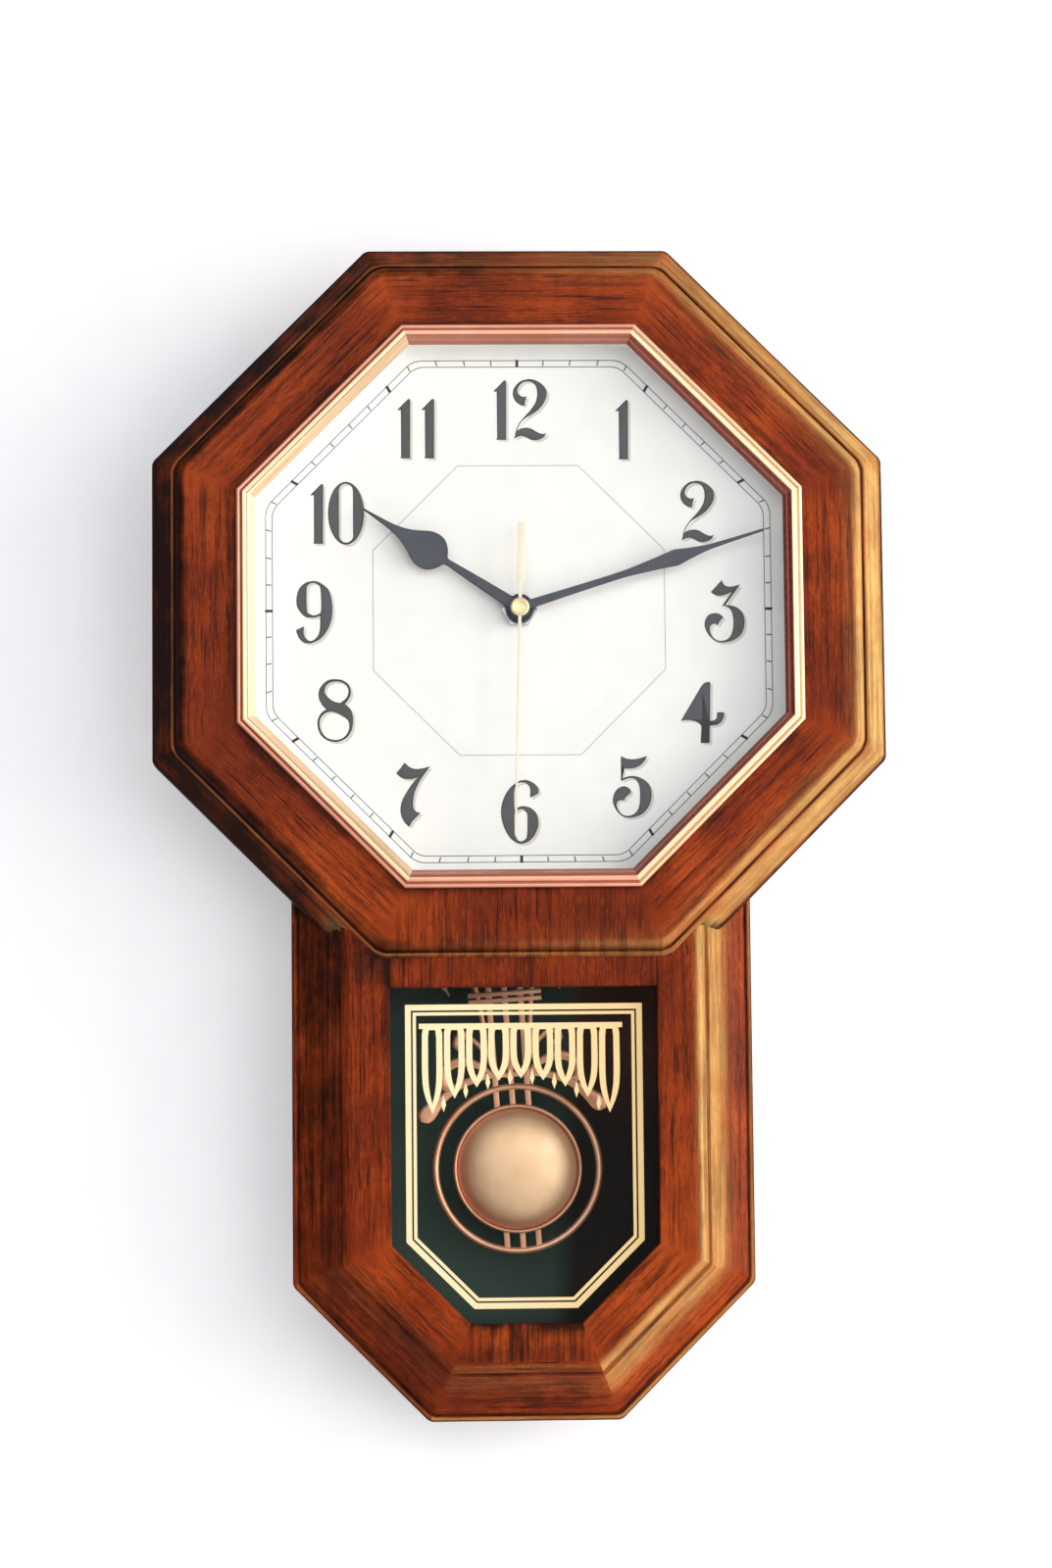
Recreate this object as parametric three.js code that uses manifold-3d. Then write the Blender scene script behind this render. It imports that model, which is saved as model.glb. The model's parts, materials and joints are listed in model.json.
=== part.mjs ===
// Schoolhouse wall clock: an octagonal wooden head with a copper-coloured bezel over a drop case,
// a glazed window, a lyre pendulum behind it and a quartz pendulum movement.
// Millimetres. +X is right, +Z is up, the front faces -Y and the wall is the plane y = 0.
// The origin is the hanging point on the wall. Inside the file, positions are [x, z] measured from
// the hands' axis, and depths are measured back from the front edge of the bezel.
import * as THREE from "three";
import { mergeVertices } from "three/addons/utils/BufferGeometryUtils.js";
import Module from "manifold-3d";

const wasm = await Module();
wasm.setup();

// ---- Driving dimensions ----
const CASE_DEPTH = 70;
const HANDS_BELOW_HOOK = 100;
const HEAD_APOTHEM = 143;
const DROP_HALF_WIDTH = 89.6;
const DROP_BOTTOM = -314;
const DROP_CHAMFER = 52.4;
const JOINT = 0.3; // joint line between neighbouring pieces
const TAN_MITRE = Math.tan(Math.PI / 8);

// Depths of the main faces
const HEAD_FACE = 4;
const DROP_FACE = 10.5;
const RAIL_BACK = 34;
const DIAL_FACE = 18.8;
const BOARD_FRONT = 66.5;

// Widths of the head and the drop, as insets from their outlines or as apothems
const BEAD_APOTHEM = 136.9; // where the drop butts against the head's bead
const BEZEL_APOTHEM = 109.5;
const DIAL_OPENING = 106;
const DIAL_REBATE = 113;
const TRAY_APOTHEM = 112.5;
const GLASS_APOTHEM = 105.5;
const TRAY_INNER = 104.2;
const WINDOW_INSET = 38.2;
const WINDOW_REBATE = 33.7;
const WINDOW_TOP = -147.3;
const CASE_APOTHEM = 128;
const CASE_INSET = 10.6;
const CASE_WALL = 9;

// Movement: its box, and the places of its arbors
const MOVEMENT_HALF_WIDTH = 28;
const MOVEMENT_TOP = 42;
const MOVEMENT_BOTTOM = -62;
const MOVEMENT_FRONT = 21.1;
const MOVEMENT_WALL = 1.5;
const COVER_FRONT = 35.9;
const COVER_BACK = 37.1;
const TRAIN_DISTANCE = 10.2; // centre arbor to the third and reduction arbors
const MOTION_DISTANCE = 11; // centre arbor to the motion-work arbor
const ROTOR_DISTANCE = 8.4; // reduction arbor to the rotor
const CENTRE = [0, 0];
const THIRD = polar(CENTRE, TRAIN_DISTANCE, 150);
const REDUCTION = polar(CENTRE, TRAIN_DISTANCE, 30);
const ROTOR = polar(REDUCTION, ROTOR_DISTANCE, 75);
const MOTION = polar(CENTRE, MOTION_DISTANCE, 270);
const ARBOR = 0.5;
const RUNNING_FIT = 0.08;
const BATTERY_AT = 33;
const DRIVE_PIVOT = [0, -33];
const DRIVE_COIL = [0, -50];
const HOOK = [0, -83];

// Hands: where they point, in degrees clockwise from twelve
const HOUR_ANGLE = 302.9;
const MINUTE_ANGLE = 72.5;
const SECOND_ANGLE = 181.6;

// Pendulum ornament, hung on the drive arm's peg from the right-hand hole of its top bar
const BOB_CENTRE = [-2, -217.2];
const PENDULUM_TILT = 3.8;
const ROD_FRONT = 41.8;
const ROD_BACK = 43.4;
const RING_RADIUS = 33.35;
const RING_HALF = 1.35; // half the width of its round bar
const BOB_RADIUS = 25.15;
const ROD_SPACING = 6.2;
const TOP_BAR = 133.8; // above the bob's centre

// ---- Materials ----
const FINISHES = {
  mahogany: [0x7f3f1f, 0.4, 0],
  caseWood: [0x5a2f1b, 0.6, 0],
  hardboard: [0x7a5a3a, 0.85, 0],
  greenCard: [0x1d2b26, 0.9, 0],
  copper: [0xd9956f, 0.25, 0.9],
  bobGold: [0xd8a680, 0.35, 0.9],
  glass: [0xf2f6f6, 0.05, 0],
  dialWhite: [0xf4f4f0, 0.45, 0],
  handBlack: [0x23262b, 0.35, 0.3],
  ivory: [0xf3e3b5, 0.4, 0.2],
  steel: [0xb9bcc0, 0.35, 0.9],
  brass: [0xc9a14e, 0.3, 0.9],
  blackPlastic: [0x191a1c, 0.5, 0],
  whitePlastic: [0xe9e9e4, 0.5, 0],
  copperWire: [0xa8542a, 0.4, 0.7],
  magnet: [0x4c4c50, 0.4, 0.8],
  circuit: [0x1f5b34, 0.5, 0],
  batteryWrap: [0x2c4f8f, 0.35, 0.2],
};

function finish(name) {
  const [color, roughness, metalness] = FINISHES[name];
  const see = name === "glass" ? { transparent: true, opacity: 0.25 } : {};
  return new THREE.MeshStandardMaterial({ color, roughness, metalness, ...see });
}

// ---- Points ----
function polar([x, z], radius, degrees) {
  const angle = THREE.MathUtils.degToRad(degrees);
  return [x + radius * Math.cos(angle), z + radius * Math.sin(angle)];
}

function circle([x, z], radius, sides = 24) {
  return Array.from({ length: sides }, (_, i) => polar([x, z], radius, (360 * i) / sides));
}

function octagon(apothem) {
  const side = apothem * TAN_MITRE;
  return [
    [side, apothem], [-side, apothem], [-apothem, side], [-apothem, -side],
    [-side, -apothem], [side, -apothem], [apothem, -side], [apothem, side],
  ];
}

function rectangle(left, right, bottom, top) {
  return [[left, bottom], [right, bottom], [right, top], [left, top]];
}

// The four lower corners of the drop's outline moved in by inset, from left to right
function dropCorners(inset) {
  const halfWidth = DROP_HALF_WIDTH - inset;
  const chamferTop = DROP_BOTTOM + DROP_CHAMFER + inset * TAN_MITRE;
  const bottom = DROP_BOTTOM + inset;
  const halfBottom = DROP_HALF_WIDTH - DROP_CHAMFER - inset * TAN_MITRE;
  return [
    [-halfWidth, chamferTop], [-halfBottom, bottom], [halfBottom, bottom], [halfWidth, chamferTop],
  ];
}

// The drop's outline moved in by inset and closed by a straight top edge
function dropPlate(inset, top) {
  const halfWidth = DROP_HALF_WIDTH - inset;
  return [[-halfWidth, top], ...dropCorners(inset), [halfWidth, top]];
}

// ---- Solids ----
const atDepth = (depth) => depth - CASE_DEPTH;

// A closed geometry with its faces turned outwards
function turnedOut(vertices, triangles) {
  const at = (i) => new THREE.Vector3(...vertices[i]);
  const volume = triangles.reduce((sum, [a, b, c]) => sum + at(a).dot(at(b).cross(at(c))), 0);
  const faces = volume < 0 ? triangles.map(([a, b, c]) => [a, c, b]) : triangles;
  return new THREE.BufferGeometry()
    .setAttribute("position", new THREE.Float32BufferAttribute(vertices.flat(), 3))
    .setIndex(faces.flat());
}

function solidOf(geometry) {
  const bare = geometry.clone();
  bare.deleteAttribute("normal");
  bare.deleteAttribute("uv");
  const merged = mergeVertices(bare, 1e-4);
  const position = merged.getAttribute("position");
  const vertices = Array.from({ length: position.count }, (_, i) => [
    position.getX(i), position.getY(i), position.getZ(i),
  ]);
  const triangles = [];
  for (let i = 0; i < merged.index.count; i += 3) {
    const triangle = [0, 1, 2].map((k) => merged.index.getX(i + k));
    if (new Set(triangle).size === 3) triangles.push(triangle);
  }
  const out = turnedOut(vertices, triangles);
  return new wasm.Manifold(
    new wasm.Mesh({
      numProp: 3,
      vertProperties: out.getAttribute("position").array,
      triVerts: new Uint32Array(out.index.array),
    }),
  );
}

function geometryOf(solid) {
  const mesh = solid.getMesh();
  return new THREE.BufferGeometry()
    .setAttribute("position", new THREE.Float32BufferAttribute(mesh.vertProperties, 3))
    .setIndex(Array.from(mesh.triVerts));
}

const join = (...solids) => solids.reduce((all, next) => all.add(next));
const cut = (solid, ...tools) => tools.reduce((rest, tool) => rest.subtract(tool), solid);

function outlineShape(points, holes = []) {
  const shape = new THREE.Shape(points.map(([x, z]) => new THREE.Vector2(x, z)));
  shape.holes = holes.map((hole) => new THREE.Path(hole.map(([x, z]) => new THREE.Vector2(x, z))));
  return shape;
}

// An outline seen from the front, carried straight back from one depth to another
function plate(points, front, back, holes = []) {
  const geometry = new THREE.ExtrudeGeometry(outlineShape(points, holes), {
    depth: back - front,
    bevelEnabled: false,
  });
  geometry.rotateX(Math.PI / 2).translate(0, atDepth(back), 0);
  return solidOf(geometry);
}

const rod = (centre, radius, front, back, sides = 24) => plate(circle(centre, radius, sides), front, back);

// A [radius, depth] profile turned about an axis that runs front to back
function turned(centre, profile, sides = 32) {
  const points = profile.map(([radius, depth]) => new THREE.Vector2(radius, atDepth(depth)));
  return solidOf(new THREE.LatheGeometry(points, sides).translate(centre[0], 0, centre[1]));
}

function tube(centre, inner, outer, front, back, sides = 24) {
  return plate(circle(centre, outer, sides), front, back, [circle(centre, inner, sides)]);
}

// Triangles between two rings of corners that start at the given indices
function between(count, ringStart, nextStart) {
  return Array.from({ length: count }, (_, i) => {
    const next = (i + 1) % count;
    return [
      [ringStart + i, ringStart + next, nextStart + next],
      [ringStart + i, nextStart + next, nextStart + i],
    ];
  }).flat();
}

// Triangles that fill a contour, all turning the same way as the contour
function filling(contour) {
  const turn = Math.sign(THREE.ShapeUtils.area(contour));
  return THREE.ShapeUtils.triangulateShape(contour, []).map(([a, b, c]) => {
    const turns = Math.sign(THREE.ShapeUtils.area([contour[a], contour[b], contour[c]]));
    return turns === turn ? [a, b, c] : [a, c, b];
  });
}

// A moulded bar from start to end. The section's points are [inset, depth], with the inset taken to
// the left of the bar's direction, and each end is cut for half of its corner's turn.
function mitredBar(section, start, end, startTurn = 0, endTurn = 0) {
  const from = new THREE.Vector2(...start);
  const to = new THREE.Vector2(...end);
  const along = to.clone().sub(from).normalize();
  const inward = new THREE.Vector2(-along.y, along.x);
  const ring = (corner, turn, side) =>
    section.map(([inset, depth]) => {
      const shift = side * (inset * Math.tan(turn / 2) + JOINT / 2 / Math.cos(turn / 2));
      const point = corner.clone().addScaledVector(inward, inset).addScaledVector(along, shift);
      return [point.x, atDepth(depth), point.y];
    });
  const vertices = [...ring(from, startTurn, 1), ...ring(to, endTurn, -1)];
  const count = section.length;
  const cap = filling(section.map(([inset, depth]) => new THREE.Vector2(inset, depth)));
  const startCap = cap.map(([a, b, c]) => [a, c, b]);
  const endCap = cap.map((triangle) => triangle.map((i) => i + count));
  return solidOf(turnedOut(vertices, [...between(count, 0, count), ...startCap, ...endCap]));
}

// Mitred bars along every edge of a closed outline that turns left as seen from the front
function mitredFrame(section, outline) {
  const count = outline.length;
  const direction = (i) => {
    const [x0, z0] = outline[(i + count) % count];
    const [x1, z1] = outline[(i + 1) % count];
    return Math.atan2(z1 - z0, x1 - x0);
  };
  const turn = (i) => {
    const change = direction(i) - direction(i - 1);
    return Math.atan2(Math.sin(change), Math.cos(change));
  };
  return outline.map((start, i) =>
    mitredBar(section, start, outline[(i + 1) % count], turn(i), turn(i + 1)),
  );
}

// An octagonal ring of the given section, in one piece
function octagonRing(section, apothem) {
  const count = section.length;
  const vertices = Array.from({ length: 8 }, (_, k) =>
    section.map(([inset, depth]) => {
      const [x, z] = polar(CENTRE, (apothem - inset) / Math.cos(Math.PI / 8), 22.5 + 45 * k);
      return [x, atDepth(depth), z];
    }),
  ).flat();
  const faces = Array.from({ length: 8 }, (_, k) =>
    between(count, count * k, count * ((k + 1) % 8)),
  ).flat();
  return solidOf(turnedOut(vertices, faces));
}

// ---- The assembly ----
const clock = new THREE.Group();
const dialFrame = new THREE.Group();
dialFrame.position.z = -HANDS_BELOW_HOOK;
clock.add(dialFrame);

function add(name, solid, finishName, group = dialFrame) {
  const mesh = new THREE.Mesh(geometryOf(solid), finish(finishName));
  mesh.name = name;
  group.add(mesh);
}

// ---- Wooden head ----
// From the outline inwards: rounded edge, thumb moulding, bead, quirk, ovolo, flat face, and the
// rebate behind that holds the dial tray
function ovolo(inset, depth, width, height, steps) {
  return Array.from({ length: steps + 1 }, (_, i) => {
    const angle = (Math.PI / 2) * (i / steps);
    return [inset + width * (1 - Math.cos(angle)), depth - height * Math.sin(angle)];
  });
}

const headSection = [
  [0, RAIL_BACK], [0, 20], [0.3, 18.8], [1, 17.4],
  [2.4, 14.9], [4, 12.3], [5.4, 10.4], [6.6, 9.2],
  [7.6, 8.5], [8.5, 8.4], [9, 8.9],
  [9.2, 9.6], [9.7, 9.6],
  ...ovolo(9.8, 8.2, 4, 8.2 - HEAD_FACE, 5),
  [HEAD_APOTHEM - DIAL_OPENING, HEAD_FACE],
  [HEAD_APOTHEM - DIAL_OPENING, DIAL_FACE - JOINT],
  [HEAD_APOTHEM - DIAL_REBATE, DIAL_FACE - JOINT],
  [HEAD_APOTHEM - DIAL_REBATE, RAIL_BACK],
];

// ---- Wooden drop ----
// From the outline inwards: edge bead, fillet, cove, quirk, round-over, flat face, and the rebate
// behind that holds the window glass
function cove(inset, depth, width, height, sweep, steps) {
  return Array.from({ length: steps + 1 }, (_, i) => {
    const angle = THREE.MathUtils.degToRad((sweep * i) / steps);
    return [inset + width * Math.sin(angle), depth - height * (1 - Math.cos(angle))];
  });
}

const dropBead = [
  [0, 30.3], [0.15, 29.4], [0.6, 28.8], [1.2, 28.6], [1.8, 28.8], [2.2, 29.3], [2.7, 29.3],
];
const dropMoulding = [
  ...cove(2.9, 28.3, 15.6, 18.2, 76, 7),
  [18.4, 14.8], [19.2, 14.8],
  ...ovolo(19.4, 13.7, 4.4, 13.7 - DROP_FACE, 4),
];

const WINDOW_LIP_BACK = 14.7;
const dropSection = [
  [0, RAIL_BACK], ...dropBead, ...dropMoulding,
  [WINDOW_INSET, DROP_FACE], [WINDOW_INSET, WINDOW_LIP_BACK],
  [WINDOW_REBATE, WINDOW_LIP_BACK], [WINDOW_REBATE, RAIL_BACK],
];

// The space the drop takes under the head's lower rails, a joint line larger all round
function dropEnvelope() {
  const section = [
    [-JOINT, RAIL_BACK + 1], [-JOINT, dropBead[3][1] - JOINT],
    ...dropMoulding.map(([inset, depth]) => [inset - JOINT, depth - JOINT]),
    [DROP_HALF_WIDTH + 1, DROP_FACE - JOINT], [DROP_HALF_WIDTH + 1, RAIL_BACK + 1],
  ];
  const low = -HEAD_APOTHEM - 10;
  const left = mitredBar(section, [-DROP_HALF_WIDTH, 0], [-DROP_HALF_WIDTH, low]);
  const right = mitredBar(section, [DROP_HALF_WIDTH, low], [DROP_HALF_WIDTH, 0]);
  return cut(join(left, right), plate(octagon(BEAD_APOTHEM), -1, RAIL_BACK + 2));
}

function woodenHead() {
  const names = [
    "top", "top_left", "left", "bottom_left", "bottom", "bottom_right", "right", "top_right",
  ];
  const envelope = dropEnvelope();
  mitredFrame(headSection, octagon(HEAD_APOTHEM)).forEach((bar, i) => {
    const trimmed = names[i].startsWith("bottom") ? cut(bar, envelope) : bar;
    add("head_rail_" + names[i], trimmed, "mahogany");
  });
}

function woodenDrop() {
  const above = -BEAD_APOTHEM + 60;
  const names = ["left", "bottom_left", "bottom", "bottom_right", "right"];
  const headSpace = plate(octagon(BEAD_APOTHEM + JOINT), -1, RAIL_BACK + 1);
  mitredFrame(dropSection, dropPlate(0, above)).slice(0, 5).forEach((bar, i) => {
    add("drop_rail_" + names[i], cut(bar, headSpace), "mahogany");
  });
  const top = -BEAD_APOTHEM - JOINT;
  const windowLip = top - WINDOW_TOP;
  const rebate = windowLip - (WINDOW_INSET - WINDOW_REBATE);
  const section = [
    [0, DROP_FACE], [windowLip, DROP_FACE], [windowLip, WINDOW_LIP_BACK],
    [rebate, WINDOW_LIP_BACK], [rebate, RAIL_BACK], [0, RAIL_BACK],
  ];
  const halfWidth = DROP_HALF_WIDTH - WINDOW_INSET - JOINT / 2;
  add("drop_rail_top", mitredBar(section, [halfWidth, top], [-halfWidth, top]), "mahogany");
}

// ---- Case behind the frame ----
// The case's outline at the given inset, turning left from the right end of its top edge
function caseOutline(inset) {
  const apothem = CASE_APOTHEM - inset;
  const halfWidth = DROP_HALF_WIDTH - CASE_INSET - inset;
  const waist = halfWidth - apothem * Math.SQRT2;
  const head = octagon(apothem);
  return [
    head[0], head[1], head[2], head[3],
    [-halfWidth, waist], ...dropCorners(CASE_INSET + inset), [halfWidth, waist],
    head[6], head[7],
  ];
}

const ACCESS_OPENING = rectangle(-34, 34, -66, 48);
const HANGER_OPENING = rectangle(-13, 13, 88, 108);
const SCREW_PLACES = { left: [-18, 101], right: [18, 101] };
const SCREW_HOLE = 1.7;

function caseBoards() {
  const names = [
    "head_top", "head_top_left", "head_left", "head_bottom_left",
    "drop_left", "drop_bottom_left", "drop_bottom", "drop_bottom_right", "drop_right",
    "head_bottom_right", "head_right", "head_top_right",
  ];
  const front = RAIL_BACK + JOINT;
  const back = BOARD_FRONT - JOINT;
  const section = [[0, front], [CASE_WALL, front], [CASE_WALL, back], [0, back]];
  mitredFrame(section, caseOutline(0)).forEach((bar, i) => add("case_" + names[i], bar, "caseWood"));
}

function backBoard() {
  const screwHoles = Object.values(SCREW_PLACES).map((place) => circle(place, SCREW_HOLE, 12));
  const holes = [ACCESS_OPENING, HANGER_OPENING, ...screwHoles];
  add("back_board", plate(caseOutline(0), BOARD_FRONT, CASE_DEPTH, holes), "hardboard");
  const card = dropPlate(CASE_INSET + CASE_WALL + 0.6, -110);
  add("drop_backing_card", plate(card, BOARD_FRONT - 0.8, BOARD_FRONT - JOINT), "greenCard");
}

// A keyhole: the screw's head goes in below and its shank rides up to the hanging point
function keyhole(hang, slotHalfWidth, holeRadius, drop) {
  const arc = (centre, radius, from, to, steps) =>
    Array.from({ length: steps + 1 }, (_, i) => polar(centre, radius, from + ((to - from) * i) / steps));
  const spread = THREE.MathUtils.radToDeg(Math.acos(slotHalfWidth / holeRadius));
  const hole = [hang[0], hang[1] - drop];
  return [
    ...arc(hang, slotHalfWidth, 0, 180, 8),
    ...arc(hole, holeRadius, 180 - spread, 360 + spread, 16),
  ];
}

function hanger() {
  const front = BOARD_FRONT - 1.5;
  const back = BOARD_FRONT - JOINT;
  const hook = [0, HANDS_BELOW_HOOK];
  const holes = [
    keyhole(hook, 2.5, 4.6, 6),
    ...Object.values(SCREW_PLACES).map((place) => circle(place, SCREW_HOLE, 12)),
  ];
  add("hanger_plate", plate(rectangle(-22, 22, 84, 118), front, back, holes), "steel");
  const head = front - JOINT;
  const profile = [[0, head - 1.4], [1.8, head - 1.2], [3, head], [1.4, head], [1.4, 69.4], [0, 69.4]];
  for (const [side, place] of Object.entries(SCREW_PLACES)) {
    add("hanger_screw_" + side, turned(place, profile, 16), "steel");
  }
}

// ---- Dial and glasses ----
function bezel() {
  const section = [
    [0, HEAD_FACE - JOINT], [0, 1.5], [0.3, 0.9], [0.9, 0.6], [1.4, 0.8],
    [1.75, 1.35],
    [2.45, 0.15], [2.65, 0], [4.1, 0],
    [4.25, 0.5], [4.45, 0.5],
    [4.6, 0.3], [5.1, 0.8], [5.7, 2.3], [6, 3.6], [6.3, 4.4], [6.3, 5.8],
    [BEZEL_APOTHEM - GLASS_APOTHEM, 5.8], [BEZEL_APOTHEM - GLASS_APOTHEM, HEAD_FACE - JOINT],
  ];
  add("bezel", octagonRing(section, BEZEL_APOTHEM), "copper");
}

function dialAndGlasses() {
  add("dial_glass", plate(octagon(GLASS_APOTHEM), 6.1, 7.6), "glass");
  const bushingHole = circle(CENTRE, 4.3);
  const base = plate(octagon(TRAY_APOTHEM), DIAL_FACE, DIAL_FACE + 2, [bushingHole]);
  const wall = plate(octagon(GLASS_APOTHEM), 7.9, DIAL_FACE + 1, [octagon(TRAY_INNER)]);
  add("dial_tray", join(base, wall), "dialWhite");
  const glassTop = WINDOW_TOP + WINDOW_INSET - WINDOW_REBATE - JOINT;
  const window = dropPlate(WINDOW_REBATE + JOINT, glassTop);
  add("drop_glass", plate(window, WINDOW_LIP_BACK + JOINT, WINDOW_LIP_BACK + 2.3), "glass");
}

// ---- Movement ----
// A spur gear's outline: straight-sided teeth, thinned so that a pair turns freely. One tooth points
// along phase, in degrees.
function gearOutline(centre, teeth, module, phase) {
  const pitchRadius = (teeth * module) / 2;
  const step = 360 / teeth;
  const rootRadius = pitchRadius - 1.15 * module;
  const tipRadius = pitchRadius + 0.85 * module;
  return Array.from({ length: teeth }, (_, i) => {
    const middle = phase + i * step;
    return [
      polar(centre, rootRadius, middle - step * 0.25),
      polar(centre, tipRadius, middle - step * 0.12),
      polar(centre, tipRadius, middle + step * 0.12),
      polar(centre, rootRadius, middle + step * 0.25),
    ];
  }).flat();
}

// The phase that puts a gap of the driven gear opposite a tooth of a gear whose phase is 0
function meshedPhase(centre, teeth, drivenCentre, drivenTeeth) {
  const bearing = THREE.MathUtils.radToDeg(
    Math.atan2(drivenCentre[1] - centre[1], drivenCentre[0] - centre[0]),
  );
  const offset = -bearing;
  return bearing + 180 - (offset * teeth) / drivenTeeth + 180 / drivenTeeth;
}

const gear = (centre, teeth, module, phase, front, back, bore) =>
  plate(gearOutline(centre, teeth, module, phase), front, back, bore ? [circle(centre, bore)] : []);

const arbor = (centre, radius, front, back) => rod(centre, radius, front, back, 12);

const TEETH = {
  secondsPinion: 8, thirdWheel: 60, thirdPinion: 8, centreWheel: 64,
  rotorPinion: 8, reductionWheel: 48, reductionPinion: 10, secondsWheel: 50,
  cannonPinion: 12, motionWheel: 36, motionPinion: 10, hourWheel: 40,
};

// The module that makes two gears fit their centre distance
const moduleFor = (distance, a, b) => (2 * distance) / (TEETH[a] + TEETH[b]);

function goingTrain() {
  const slowModule = moduleFor(TRAIN_DISTANCE, "thirdPinion", "centreWheel");
  const thirdModule = moduleFor(TRAIN_DISTANCE, "secondsPinion", "thirdWheel");
  const secondsModule = moduleFor(TRAIN_DISTANCE, "reductionPinion", "secondsWheel");
  const rotorModule = moduleFor(ROTOR_DISTANCE, "rotorPinion", "reductionWheel");
  const thirdPhase = meshedPhase(CENTRE, TEETH.secondsPinion, THIRD, TEETH.thirdWheel);
  const centrePhase = meshedPhase(THIRD, TEETH.thirdPinion, CENTRE, TEETH.centreWheel);
  const secondsPhase = meshedPhase(REDUCTION, TEETH.reductionPinion, CENTRE, TEETH.secondsWheel);
  const reductionPhase = meshedPhase(ROTOR, TEETH.rotorPinion, REDUCTION, TEETH.reductionWheel);

  add("rotor", join(
    rod(ROTOR, 3, 29.2, 32.2),
    gear(ROTOR, TEETH.rotorPinion, rotorModule, 0, 33.2, 34.4),
    arbor(ROTOR, ARBOR, 22, 36.3),
  ), "magnet");
  add("reduction_wheel", join(
    gear(REDUCTION, TEETH.reductionWheel, rotorModule, reductionPhase, 33.4, 34.2),
    gear(REDUCTION, TEETH.reductionPinion, secondsModule, 0, 31.6, 33.6),
    arbor(REDUCTION, ARBOR, 22, 36.3),
  ), "whitePlastic");
  add("seconds_wheel", join(
    gear(CENTRE, TEETH.secondsWheel, secondsModule, secondsPhase, 31.8, 32.6),
    gear(CENTRE, TEETH.secondsPinion, thirdModule, 0, 29.8, 31.9),
    arbor(CENTRE, ARBOR, 10.4, 36.3),
  ), "brass");
  add("third_wheel", join(
    gear(THIRD, TEETH.thirdWheel, thirdModule, thirdPhase, 30, 30.8),
    gear(THIRD, TEETH.thirdPinion, slowModule, 0, 27.6, 30.1),
    arbor(THIRD, ARBOR, 22, 36.3),
  ), "whitePlastic");
  add("centre_wheel", gear(CENTRE, TEETH.centreWheel, slowModule, centrePhase, 27.8, 28.6,
    PIPE.minuteOuter + RUNNING_FIT), "whitePlastic");
}

// Nested pipes on the centre axis
const PIPE = { minuteInner: 0.6, minuteOuter: 1.6, hourInner: 1.7, hourOuter: 2.5, bushingBore: 2.6 };
const MOTION_ARBOR = 1.1;

function motionWork() {
  const fastModule = moduleFor(MOTION_DISTANCE, "cannonPinion", "motionWheel");
  const slowModule = moduleFor(MOTION_DISTANCE, "motionPinion", "hourWheel");
  const motionPhase = meshedPhase(CENTRE, TEETH.cannonPinion, MOTION, TEETH.motionWheel);
  const hourPhase = meshedPhase(MOTION, TEETH.motionPinion, CENTRE, TEETH.hourWheel);
  add("minute_pipe", join(
    tube(CENTRE, PIPE.minuteInner, PIPE.minuteOuter, 10.9, 28.9),
    gear(CENTRE, TEETH.cannonPinion, fastModule, 0, 25.2, 26.8, PIPE.minuteInner),
  ), "brass");
  add("motion_wheel", join(
    gear(MOTION, TEETH.motionWheel, fastModule, motionPhase, 25.5, 26.5),
    gear(MOTION, TEETH.motionPinion, slowModule, 0, 22.9, 25.6),
    arbor(MOTION, MOTION_ARBOR, 26, 38.9),
    arbor(MOTION, ARBOR, 22, 24),
  ), "whitePlastic");
  add("hour_wheel", join(
    tube(CENTRE, PIPE.hourInner, PIPE.hourOuter, 13, 24.2),
    gear(CENTRE, TEETH.hourWheel, slowModule, hourPhase, 23.2, 24.2, PIPE.hourInner),
  ), "whitePlastic");
  const grips = gearOutline(MOTION, 24, 0.54, 0);
  add("set_knob", plate(grips, COVER_BACK + 0.4, 43, [circle(MOTION, MOTION_ARBOR + 0.1, 12)]),
    "blackPlastic");
}

function movementBox() {
  const outer = rectangle(-MOVEMENT_HALF_WIDTH, MOVEMENT_HALF_WIDTH, MOVEMENT_BOTTOM, MOVEMENT_TOP);
  const inside = MOVEMENT_HALF_WIDTH - MOVEMENT_WALL;
  const bay = (bottom, top) =>
    plate(rectangle(-inside, inside, bottom, top), MOVEMENT_FRONT + MOVEMENT_WALL, 40);
  const coilBay = bay(MOVEMENT_BOTTOM + MOVEMENT_WALL, -24.2);
  const gearBay = bay(-22.7, 22.7);
  const batteryBay = plate(
    rectangle(-inside, inside, 24.2, MOVEMENT_TOP - MOVEMENT_WALL), 21.9, 40);
  const bushing = rod(CENTRE, 3.9, 15.4, MOVEMENT_FRONT + 1);
  const bore = rod(CENTRE, PIPE.bushingBore, 15, 30);
  const contactNotch = plate(rectangle(-inside, -25.6, 20, 26), 23.2, 27);
  const pivots = [THIRD, REDUCTION, ROTOR, MOTION].map((place) =>
    rod(place, ARBOR + 0.1, 21.7, 24, 12));
  const box = join(plate(outer, MOVEMENT_FRONT, COVER_FRONT - JOINT), bushing);
  const hollows = [coilBay, gearBay, batteryBay, bore, contactNotch, ...pivots];
  add("movement_case", cut(box, ...hollows), "blackPlastic");
}

function movementCover() {
  const outline = rectangle(-MOVEMENT_HALF_WIDTH, MOVEMENT_HALF_WIDTH, MOVEMENT_BOTTOM, 23.7);
  const knobHole = circle(MOTION, MOTION_ARBOR + 0.1, 12);
  const board = plate(outline, COVER_FRONT, COVER_BACK, [knobHole]);
  const pivots = [CENTRE, THIRD, REDUCTION, ROTOR].map((place) => rod(place, ARBOR + 0.1, 35, 36.6, 12));
  const pin = rod(DRIVE_PIVOT, 1.2, 36.5, 40.4);
  const pinHead = rod(DRIVE_PIVOT, 2.2, 40, 41);
  add("movement_cover", join(cut(board, ...pivots), pin, pinHead), "blackPlastic");
}

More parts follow.
